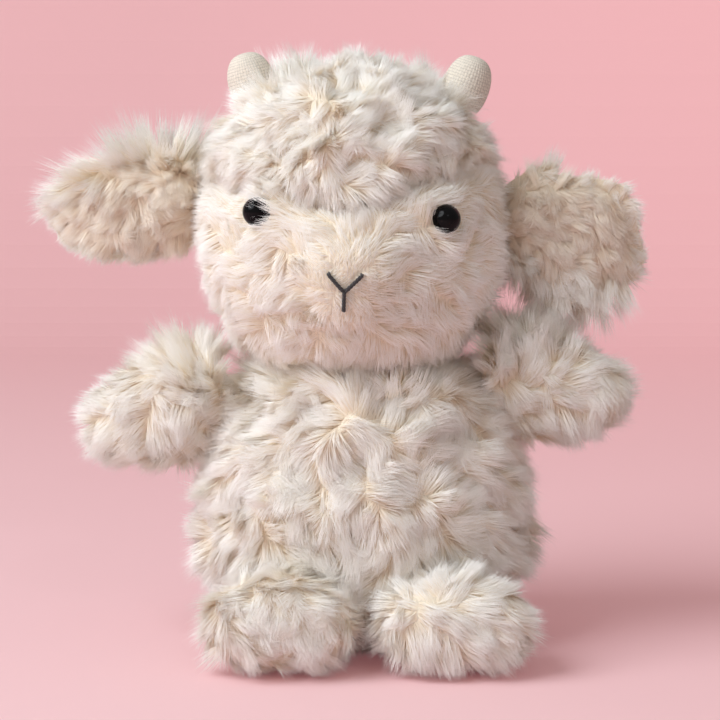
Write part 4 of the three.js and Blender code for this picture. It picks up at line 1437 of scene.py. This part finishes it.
class LAMB_OT_head(bpy.types.Operator):
    """The head's skin, the pile of the crown and the shorter pile of the face"""

    bl_idname = "lamb.head"
    bl_label = "Head"

    def execute(self, context):
        settings = context.scene.lamb_pile
        skin = head_skin(HEAD_GRID, HEAD_INSET)
        sew_skin("head_skin", skin, settings, "head", ["head_cover"])
        self.crown(skin, settings, -1, 1)
        self.crown(skin, settings, 1, 2)
        self.face(skin, settings)
        return {"FINISHED"}

    def shown(self, points):
        """1 where pile shows, 0 over the neck, at the ears' roots, under the horns and under the beads."""
        local = into_head(points)
        _, ear_gap = nearest(points, limb_spots(EARS))
        _, eye_gap = nearest(local, eye_spots())
        under = np.linalg.norm(points - SHOULDER_MIDDLE, axis=1) < SHOULDER_RADIUS + 1.5 * NECK_GAP
        _, horn_gap = nearest(points, horn_spots())
        inner = inside_eyes(local)
        bead = EYE_DIAMETER / 2 + lerp(EYE_HOLE_OUTER, np.where(local[:, 0] < 0, *EYE_HOLE_INNER), inner)
        hidden = (ear_gap < EAR_HOLE) | (eye_gap < bead) | under | (horn_gap < HORN_HOLE)
        return np.where(hidden, 0.0, 1.0)

    def crown(self, skin, settings, side, seed):
        """Pile above the crease in front of or behind the horns, lying away from one swirl over the brow."""

        def weight(points):
            """The shown skin above the crease, on one side of the horns."""
            local = into_head(points)
            above = local[:, 2] > crease_level(local[:, 0])
            return self.shown(points) * above * (side * local[:, 1] > 0)

        pile = Pile(skin, CROWN_STRANDS, weight, seed)
        flow = 0.5 * unit(pile.roots - np.array(CROWN_SWIRL))
        flow = flow + 0.5 * whorls(pile.roots, CROWN_WHORLS, CROWN_SEED)
        flow = flow + 0.5 * drift(pile.roots, CROWN_DRIFT, CROWN_SEED)
        push, close = self.towards_ears(pile.roots)
        flow = flow + push
        middle = bell(pile.roots, CROWN_SWIRL, SWIRL_TOP)
        local = into_head(pile.roots)
        above = local[:, 2] - crease_level(local[:, 0])
        over = smooth(-local[:, 1], *BROW_FRONT) * (1 - smooth(above, *BROW_OVER))
        flow = flow - 1.2 * over[:, None] * UP
        beside = 1 - smooth(nearest(pile.roots, horn_spots())[1], *HORN_NEAR)
        beside = beside * (1 - smooth(np.abs(local[:, 0]) - HORN_SPACING / 2, *HORN_INNER))
        length = settings.crown_length / MM * (1 + 0.15 * over + 0.3 * close + 0.45 * beside)
        rise = PILE_RISE + 0.4 * middle + 0.3 * over + 0.4 * close + 0.45 * beside
        rest = PILE_REST + 0.2 * over + 0.6 * close + 0.9 * beside
        grow(f"crown_pile_{seed}", pile, flow, length, plush_material(settings), "head",
             settings.strand_width / MM, tuft=75, rise=rise, rest=rest, clump=0.5)

    def towards_ears(self, points):
        """A push out along each ear, strongest beside its root, and how close the root is from 0 to 1."""
        push = np.zeros_like(points)
        close = np.zeros(len(points))
        for name in EARS:
            place, axes = limb_place(name)
            near = bell(points, place, EAR_PULL_REACH)
            push += EAR_PULL * near[:, None] * axes[0]
            close = np.maximum(close, smooth(near, *EAR_CLOSE))
        return push, close

    def face(self, skin, settings):
        """Pile below the crease, lying away from the nose, shortest at the stitches and under the chin."""

        def weight(points):
            """The shown skin below the crease and off the stitches, closer towards the front."""
            local = into_head(points)
            _, nose_gap = nearest(local, stitch_spots())
            below = local[:, 2] <= crease_level(local[:, 0])
            return self.shown(points) * below * (nose_gap > STITCH_HOLE) * (1.2 - points[:, 1] / 90)

        pile = Pile(skin, FACE_STRANDS, weight, FACE_SEED)
        local = into_head(pile.roots)
        _, nose_gap = nearest(local, stitch_spots())
        _, eye_gap = nearest(local, eye_spots())
        muzzle = from_head(head_form(face_way(0.0, -NOSE_DROP)[None]))[0]
        flow = 0.8 * unit(pile.roots - muzzle)
        flow = flow + 0.4 * drift(pile.roots, FACE_DRIFT, FACE_SEED + 1) - 0.2 * UP
        flow = flow + 0.5 * whorls(pile.roots, FACE_WHORLS, FACE_SEED + 2)
        push, close = self.towards_ears(pile.roots)
        flow = flow + push
        length = settings.face_length / MM * lerp(0.4, 1, smooth(nose_gap, *NOSE_NEAR)) * (1 + 0.25 * close)
        inner = inside_eyes(local)
        over = inner * (1 - smooth(eye_gap, *EYE_OVER))
        flow = flow + (over * np.where(local[:, 0] < 0, -3, 0.8))[:, None] * HEAD_AXES[0]
        length = length * lerp(lerp(0.55, 1.25, inner), 1, smooth(eye_gap, *EYE_NEAR))
        above = local[:, 2] - crease_level(local[:, 0])
        brow = smooth(-local[:, 1], *CREASE_FRONT) * smooth(above, *CREASE_UNDER)
        length = length * lerp(1, 0.6, brow * (1 - over))
        chin = smooth(-local[:, 1], *CHIN_FRONT) * smooth(-local[:, 2], *CHIN_LEVELS)
        nape = smooth(local[:, 1], *NAPE_BACK) * smooth(-local[:, 2], *NAPE_LEVELS)
        flow = flow - (1.0 * chin + 2.0 * nape)[:, None] * UP
        length = lerp(length, settings.chin_length / MM, chin) * (1 + 0.5 * nape)
        rise = lerp(lerp(0.5, PILE_RISE, smooth(nose_gap, *NOSE_FLAT)), 0.5, chin) + 0.4 * close
        grow("face_pile", pile, flow, length, plush_material(settings), "head",
             settings.strand_width / MM, tuft=60, rise=rise,
             rest=lerp(0.3, 0.1, chin) + 0.3 * close, clump=0.35, tousle=0.65)


class LAMB_OT_arms(bpy.types.Operator):
    """Both arms: a padded skin each, with pile lying out towards the paw"""

    bl_idname = "lamb.arms"
    bl_label = "Arms"

    def execute(self, context):
        settings = context.scene.lamb_pile
        for seed, name in enumerate(ARMS, start=ARM_SEED):
            skin = limb_skin(name, ARM_FORM, ARM_GRID, LIMB_INSET)
            sew_skin(f"{name}_skin", skin, settings, name, [f"{name}_cover"])
            place, axes = limb_place(name)

            def weight(points):
                """None inside the shoulder, and closest over it."""
                root, above = self.shoulder(points, place, axes)
                return (1 + 1.5 * (root * above)) * ((points - place) @ axes[0] > ARM_HOLE)

            pile = Pile(skin, ARM_STRANDS, weight, seed)
            flow = 0.7 * axes[0] - 0.15 * UP + 0.4 * drift(pile.roots, LIMB_DRIFT, seed + 10)
            flow = flow + 0.4 * whorls(pile.roots, ARM_WHORLS, seed + 20)
            flow = flow + 0.6 * swirl(pile.roots, LEFT_ARM_SWIRL, ARM_SWIRL_REACH)
            root, above = self.shoulder(pile.roots, place, axes)
            length = settings.limb_length / MM * lerp(1, lerp(0.8, 1.5, above), root)
            tip = smooth(pile.normals @ axes[0], *ARM_TIP)
            length = length * lerp(1, 0.75, tip)
            grow(f"{name}_pile", pile, flow, length, plush_material(settings), name,
                 settings.strand_width / MM,
                 rise=lerp(PILE_RISE, lerp(PILE_RISE, 1.5, above), root) + 0.3 * tip,
                 rest=lerp(0.1, lerp(0.1, 1.0, above), root) + 0.6 * tip)
        return {"FINISHED"}

    def shoulder(self, points, place, axes):
        """How near the shoulder places are along an arm, and how far above its joint, each from 0 to 1."""
        root = 1 - smooth((points - place) @ axes[0], *ARM_ROOT)
        return root, smooth(points[:, 2] - place[2], *ARM_TOP)


class LAMB_OT_feet(bpy.types.Operator):
    """Both feet: a padded skin each, with pile lying away from a swirl over the toes"""

    bl_idname = "lamb.feet"
    bl_label = "Feet"

    def execute(self, context):
        settings = context.scene.lamb_pile
        swirls = {"left_foot": LEFT_FOOT_SWIRL, "right_foot": RIGHT_FOOT_SWIRL}
        for seed, name in enumerate(FEET, start=FOOT_SEED):
            skin = limb_skin(name, FOOT_FORM, FOOT_GRID, LIMB_INSET, FOOT_ENDS)
            sew_skin(f"{name}_skin", skin, settings, name, [f"{name}_cover"])
            pile = Pile(skin, FOOT_STRANDS, lambda points: 1.0 * (points[:, 2] > FOOT_RIM), seed)
            flow = 0.3 * unit(pile.roots - np.array(swirls[name])) + np.array((0.3, 0, -0.5))
            flow = flow + 0.4 * whorls(pile.roots, FOOT_WHORLS, seed + 20)
            flow = flow + 0.5 * drift(pile.roots, LIMB_DRIFT, seed + 10)
            grow(f"{name}_pile", pile, flow, settings.limb_length / MM, plush_material(settings), name,
                 settings.strand_width / MM, tuft=80, rise=0.75, rest=0.1, clump=0.5)
        return {"FINISHED"}


class LAMB_OT_tail(bpy.types.Operator):
    """The tail: a small padded skin with pile lying out and down"""

    bl_idname = "lamb.tail"
    bl_label = "Tail"

    def execute(self, context):
        settings = context.scene.lamb_pile
        skin = limb_skin("tail", TAIL_FORM, TAIL_GRID, TAIL_INSET)
        sew_skin("tail_skin", skin, settings, "tail", ["tail_cover"])
        place, axes = limb_place("tail")

        def weight(points):
            """None inside the body."""
            return 1.0 * ((points - place) @ axes[0] > TAIL_HOLE)

        pile = Pile(skin, TAIL_STRANDS, weight, TAIL_SEED)
        flow = axes[0] - 0.6 * UP + 0.5 * drift(pile.roots, TAIL_DRIFT, TAIL_SEED + 1)
        tip = smooth(pile.normals @ axes[0], *TAIL_TIP)
        grow("tail_pile", pile, flow, settings.tail_length / MM, plush_material(settings), "tail",
             settings.strand_width / MM, tuft=70, rise=PILE_RISE + 0.4 * tip, rest=0.2 + 0.8 * tip, clump=0.4)
        return {"FINISHED"}


class LAMB_OT_ears(bpy.types.Operator):
    """Both ears: an outer layer with a long rim, and a lining with matted pile"""

    bl_idname = "lamb.ears"
    bl_label = "Ears"

    def execute(self, context):
        settings = context.scene.lamb_pile
        width = settings.strand_width / MM
        for seed, name in enumerate(EARS, start=EAR_SEED):
            place, axes = limb_place(name)
            outer = ear_skin(name, 1, 1)
            sew_skin(f"{name}_outer_skin", outer, settings, name, [f"{name}_outer"])
            pile = Pile(outer, EAR_STRANDS, lambda points: self.shown(points, place, axes, 1), seed)
            local = (pile.roots - place) @ axes.T
            rim = local[:, 2:] / EAR_ROOT_RADIUS * lerp(1.0, 0.3, smooth(local[:, 2:], *EAR_TOP)) * axes[2]
            edge = smooth(np.abs(local[:, 2:]) / (EAR_ROOT_RADIUS - EAR_INSET), *EAR_EDGE)
            root = 1 - smooth(local[:, 0], *EAR_ROOT)
            tip = smooth(local[:, 0] / EAR_LENGTH, *EAR_TIP)
            below = smooth(-local[:, 2], *EAR_BELOW)
            hang = (0.5 + 0.9 * below * (1 - root))[:, None]
            flow = 0.9 * axes[0] + rim - hang * UP - 0.9 * edge * axes[1]
            flow = flow + 0.5 * drift(pile.roots, EAR_DRIFT, seed + 10)
            fringe = lerp(EAR_FRINGES[name], 1.7, below)
            length = lerp(lerp(0.5, 1.5, below), fringe, root) * lerp(1, 0.6, tip)
            length = length * settings.ear_length / MM
            grow(f"{name}_outer_pile", pile, flow, length, plush_material(settings), name, width,
                 rise=lerp(lerp(0.5, 1.1, below), lerp(0.7 + EAR_FRINGES[name] / 2, 1.5, below), root),
                 rest=lerp(lerp(0.1, 0.5, below), lerp(0.3, 1.1, below), root))
            lining = ear_skin(name, -1, EAR_LINING_SCALE)
            sew_skin(f"{name}_lining_skin", lining, settings, name, [f"{name}_lining"])
            pile = Pile(lining, LINING_STRANDS, lambda points: self.shown(points, place, axes, -1), seed + 20)
            flow = 0.5 * axes[0] - 0.4 * UP + 0.4 * drift(pile.roots, LINING_DRIFT, seed + 30)
            flow = flow + 0.6 * whorls(pile.roots, LINING_WHORLS, seed + 40)
            grow(f"{name}_lining_pile", pile, flow, settings.lining_length / MM, lining_material(settings),
                 name, width, tuft=90, rest=0.3)
        return {"FINISHED"}

    def shown(self, points, place, axes, facing):
        """Closest under the root, even on the open face of a layer and its rim, none between the layers."""
        along, through, across = ((points - place) @ axes.T).T
        sheet = -EAR_CUP * smooth(along, 0, EAR_LENGTH / 2) * (across / EAR_ROOT_RADIUS) ** 2
        out = np.maximum(along, 0) / (EAR_LENGTH - EAR_INSET)
        rim = np.hypot(across / (EAR_ROOT_RADIUS - EAR_INSET), out)
        open_ = (facing * (through - sheet) > EAR_OPEN_GAP) | (rim > EAR_OPEN_RIM)
        root = (1 - smooth(along, *EAR_ROOT)) * smooth(-across, *EAR_BELOW)
        return (1 + 2 * root) * (along > EAR_ROOT_HOLE) * open_


def node_points(name):
    """All corners of a solid, in millimetres."""
    mesh = frame["nodes"][name].data
    corners = np.empty(len(mesh.vertices) * 3, np.float32)
    mesh.vertices.foreach_get("co", corners)
    return corners.reshape(-1, 3).astype(float) / MM


def lathe(radius, level, sides):
    """A profile of radii and levels turned about Z; its first and last radius are 0."""
    angles = np.arange(sides) * math.tau / sides
    rows = np.stack(np.broadcast_arrays(
        radius[1:-1, None] * np.cos(angles), radius[1:-1, None] * np.sin(angles), level[1:-1, None]), axis=-1)
    points = np.concatenate([[(0, 0, level[0])], rows.reshape(-1, 3), [(0, 0, level[-1])]])
    return points, ball_faces(len(radius) - 1, sides)


class LAMB_OT_eyes(bpy.types.Operator):
    """Both eyes: a polished bead with a rounded edge on its stem, and the washer behind it"""

    bl_idname = "lamb.eyes"
    bl_label = "Eyes"

    def execute(self, context):
        settings = context.scene.lamb_trim
        beads = bead_material(settings)
        plastic = washer_material()
        radius, level = self.outline()
        for side in ("left", "right"):
            name = f"{side}_eye"
            tip, axes = self.place(name)
            points, faces = lathe(radius, level, EYE_SIDES)
            eye = new_piece(f"{name}_bead", points @ axes + tip, faces, beads, "head")
            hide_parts(name)
            washer = frame["nodes"][f"{name}_washer"]
            washer.data.materials.clear()
            washer.data.materials.append(plastic)
        return {"FINISHED"}

    def outline(self):
        """From the tip: a quarter ellipse to a rounded edge, the flat back, and the stem."""
        turn = np.linspace(0, math.pi / 2, EYE_STEPS)
        dome = np.stack([EYE_DIAMETER / 2 * np.sin(turn), EYE_HEIGHT * (np.cos(turn) - 1)], axis=1)
        roll = np.linspace(0, math.pi / 2, EDGE_STEPS)[1:]
        inner = EYE_DIAMETER / 2 - EYE_EDGE
        rim = np.stack([inner + EYE_EDGE * np.cos(roll), -EYE_HEIGHT - EYE_EDGE * np.sin(roll)], axis=1)
        stem = STEM_DIAMETER / 2
        back = -EYE_HEIGHT - EYE_EDGE
        end = -EYE_HEIGHT - STEM_LENGTH
        neck = (
            (stem + STEM_FILLET, back),
            (stem, back - STEM_FILLET),
            (stem, end + STEM_CHAMFER),
            (stem - STEM_CHAMFER, end),
            (0, end),
        )
        rows = np.concatenate([dome, rim, neck])
        return rows[:, 0], rows[:, 1]

    def place(self, name):
        """Tip and axes of a bead: its long axis is the first principal direction of the solid's corners."""
        corners = node_points(name)
        middle = corners.mean(axis=0)
        axis = np.linalg.svd(corners - middle, full_matrices=False)[2][0]
        axis = axis * -np.sign(axis[1])
        return middle + axis * ((corners - middle) @ axis).max(), turned_axes(axis)


class LAMB_OT_stitches(bpy.types.Operator):
    """Nose and mouth: three bars of plied thread that meet in a Y"""

    bl_idname = "lamb.stitches"
    bl_label = "Nose and mouth"

    def execute(self, context):
        material = thread_material(context.scene.lamb_trim)
        half = NOSE_WIDTH / 2
        bars = {
            "nose_stitch_left": ((half, NOSE_RISE - NOSE_DROP), (NOSE_GAP, -NOSE_DROP)),
            "nose_stitch_right": ((-half, NOSE_RISE - NOSE_DROP), (-NOSE_GAP, -NOSE_DROP)),
            "mouth_stitch": ((0, MOUTH_GAP - NOSE_DROP), (0, -NOSE_DROP - MOUTH_LENGTH)),
        }
        for name, (start, end) in bars.items():
            points, faces, map_ = self.plies(np.array(start, float), np.array(end, float))
            piece = new_piece(f"{name}_thread", points, faces, material, "head")
            add_map(piece.data, "Ply", map_, faces)
            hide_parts(name)
        return {"FINISHED"}

    def plies(self, start, end):
        """Three helices about a line on the face whose ends dive into the cloth, each a round bar."""
        share = np.linspace(0, 1, PLY_STEPS)
        spots = lerp(start, end, share[:, None])
        ways = face_way(spots[:, 0] + NOSE_SHIFT, spots[:, 1])
        normals = head_slope(ways)
        ends = np.maximum(np.abs(share - 0.5) * 2 - (1 - PLY_ENDS), 0) / PLY_ENDS
        dive = STITCH_DIVE * ends**2
        line = head_form(ways) + normals * (STITCH_RISE - dive)[:, None]
        ahead = unit(np.gradient(line, axis=0))
        side = unit(np.cross(ahead, normals))
        rise = np.cross(side, ahead)
        all_points, all_faces, all_maps = [], [[], []], []
        offset = 0
        for ply in range(PLIES):
            angle = (share * PLY_TURNS + ply / PLIES) * math.tau
            twist = np.cos(angle)[:, None] * side + np.sin(angle)[:, None] * rise
            path = line + STITCH_DIAMETER * PLY_OFFSET * twist
            points, faces = tube(path, STITCH_DIAMETER * PLY_RADIUS, PLY_SIDES, normals)
            along = np.append(np.repeat(share, PLY_SIDES), (0, 1))
            across = np.append(np.tile(np.arange(PLY_SIDES) / PLY_SIDES, PLY_STEPS), (0, 0))
            all_points.append(points)
            all_maps.append(np.stack([along, across], axis=1))
            all_faces[0].append(faces[0] + offset)
            all_faces[1].extend(part + offset for part in faces[1:])
            offset += len(points)
        faces = [np.concatenate(part) for part in all_faces]
        return from_head(np.concatenate(all_points)), faces, np.concatenate(all_maps)


class LAMB_OT_horns(bpy.types.Operator):
    """Both horns: rounded nubs whose canvas is woven in the mesh"""

    bl_idname = "lamb.horns"
    bl_label = "Horns"

    def execute(self, context):
        settings = context.scene.lamb_trim
        material = canvas_material(settings)
        pitch = settings.canvas_pitch / MM
        for name, side in (("left_horn", 1), ("right_horn", -1)):
            place, axes = horn_place(side)
            points, faces, threads = self.woven(pitch)
            piece = new_piece(f"{name}_canvas", points @ axes + place, faces, material, "head")
            add_map(piece.data, "Threads", threads, faces)
            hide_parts(f"{name}_cover")
        return {"FINISHED"}

    def woven(self, pitch):
        """A lathe raised by its weave: over odd checks the threads across, over even ones those along."""
        around = 2 * round(math.pi * HORN_DIAMETER / pitch / 2)
        sides = around * THREAD_SIDES
        radius, level = horn_outline(HORN_STEPS)
        run = np.append(0, np.cumsum(np.hypot(np.diff(radius), np.diff(level)))) / pitch
        across = np.arange(sides) / sides * around
        odd = (np.floor(across)[None] + np.floor(run)[:, None]) % 2
        raised = odd * np.abs(np.sin(math.pi * across))[None]
        raised = raised + (1 - odd) * np.abs(np.sin(math.pi * run))[:, None]
        raised = raised * smooth(radius, 0.5, 4)[:, None] * THREAD_HEIGHT
        angles = np.arange(sides) * math.tau / sides
        wide = radius[:, None] + raised
        rows = np.stack(np.broadcast_arrays(
            wide * np.cos(angles), wide * np.sin(angles), level[:, None]), axis=-1)
        points = np.concatenate([[(0, 0, level[0])], rows[1:-1].reshape(-1, 3), [(0, 0, level[-1])]])
        grid = np.stack(np.broadcast_arrays(across[None], run[1:-1, None]), axis=-1).reshape(-1, 2)
        threads = np.concatenate([[(0, 0)], grid, [(0, run[-1])]])
        return points, ball_faces(HORN_STEPS - 1, sides), threads


class LAMB_OT_filling(bpy.types.Operator):
    """The loose filling of each cover, and the pouch of beans that weights the seat"""

    bl_idname = "lamb.filling"
    bl_label = "Filling"

    def execute(self, context):
        stuffed = {
            "body_filling": ("torso", body_skin(TRUNK_FILLING_GRID, BODY_INSET + FILLING_INSET)),
            "head_filling": ("head", head_skin(TRUNK_FILLING_GRID, HEAD_INSET + FILLING_INSET)),
            "tail_filling": ("tail", limb_skin("tail", TAIL_FORM, TAIL_FILLING_GRID, TAIL_INSET + 1)),
        }
        for name in (*ARMS, *FEET):
            form = ARM_FORM if name in ARMS else FOOT_FORM
            skin = limb_skin(name, form, LIMB_FILLING_GRID, LIMB_INSET + FILLING_INSET)
            stuffed[f"{name}_filling"] = (name, skin)
        for seed, (name, (body, skin)) in enumerate(stuffed.items(), start=FILLING_SEED):
            lumps = 0.5 + 0.5 * np.abs(drift(skin.points, LUMP_SIZE, seed)[:, :1])
            points = skin.points - skin.normals * np.minimum(lumps, 2)
            if name == "body_filling":
                points[:, 2] = np.maximum(points[:, 2], FILLING_FLOOR)
            piece = new_piece(f"{name}_fibre", points, skin.faces, fibre_material(), body)
            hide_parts(name)
        self.horns()
        self.pouch(context)
        return {"FINISHED"}

    def horns(self):
        """A plain nub inside each horn."""
        steps, sides = HORN_FILLING_GRID
        radius, level = horn_outline(steps)
        for name, side in (("left_horn", 1), ("right_horn", -1)):
            place, axes = horn_place(side)
            inner = np.maximum(radius - HORN_CLOTH, 0)
            points, faces = lathe(inner, level - HORN_CLOTH * np.sign(level), sides)
            piece = new_piece(
                f"{name}_filling_fibre", points @ axes + place, faces, fibre_material(), "head")
            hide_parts(f"{name}_filling")

    def pouch(self, context):
        """The foot of the body's form, drawn in to a flat top by top over height, dimpled by the beans."""
        skin = body_skin(POUCH_GRID, BODY_INSET + FILLING_INSET)
        points = skin.points.copy()
        drawn = np.minimum(1, POUCH_TOP / points[:, 2:])
        points[:, :2] = lerp(TOY_MIDDLE[:2], points[:, :2], drawn)
        points[:, 2] = np.clip(points[:, 2], POUCH_BOTTOM, POUCH_TOP)
        beans = drift(points, BEAN_SIZE, POUCH_SEED)[:, :1]
        points = points - skin.normals * np.clip(0.6 + 0.5 * beans, 0, 1.4)
        cloth = cloth_material("Pouch cloth", linear(*POUCH_COLOUR), POUCH_PITCH)
        piece = new_piece("bean_pouch_cloth", points, skin.faces, cloth, "torso")
        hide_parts("bean_pouch")


class LAMB_PT_panel(bpy.types.Panel):
    """The steps that dress the lamb, and the settings they use"""

    bl_idname = "LAMB_PT_panel"
    bl_label = "Plush Lamb"
    bl_space_type = "VIEW_3D"
    bl_region_type = "UI"
    bl_category = "Plush Lamb"

    def draw(self, context):
        for step in STEPS:
            self.layout.operator(step.bl_idname)
        for group in (context.scene.lamb_pile, context.scene.lamb_trim, context.scene.lamb_stage):
            box = self.layout.box()
            for label in group.__annotations__:
                box.prop(group, label)


STEPS = (
    LAMB_OT_stage,
    LAMB_OT_filling,
    LAMB_OT_body,
    LAMB_OT_head,
    LAMB_OT_arms,
    LAMB_OT_feet,
    LAMB_OT_tail,
    LAMB_OT_ears,
    LAMB_OT_horns,
    LAMB_OT_eyes,
    LAMB_OT_stitches,
)
CLASSES = (PileSettings, TrimSettings, StageSettings, *STEPS, LAMB_PT_panel)


def register():
    for each in CLASSES:
        bpy.utils.register_class(each)
    bpy.types.Scene.lamb_pile = bpy.props.PointerProperty(type=PileSettings)
    bpy.types.Scene.lamb_trim = bpy.props.PointerProperty(type=TrimSettings)
    bpy.types.Scene.lamb_stage = bpy.props.PointerProperty(type=StageSettings)


def unregister():
    del bpy.types.Scene.lamb_pile
    del bpy.types.Scene.lamb_trim
    del bpy.types.Scene.lamb_stage
    for each in reversed(CLASSES):
        bpy.utils.unregister_class(each)


def main():
    """Registers the add-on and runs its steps."""
    register()
    for step in STEPS:
        group, name = step.bl_idname.split(".")
        getattr(getattr(bpy.ops, group), name)()


if __name__ == "__main__":
    main()
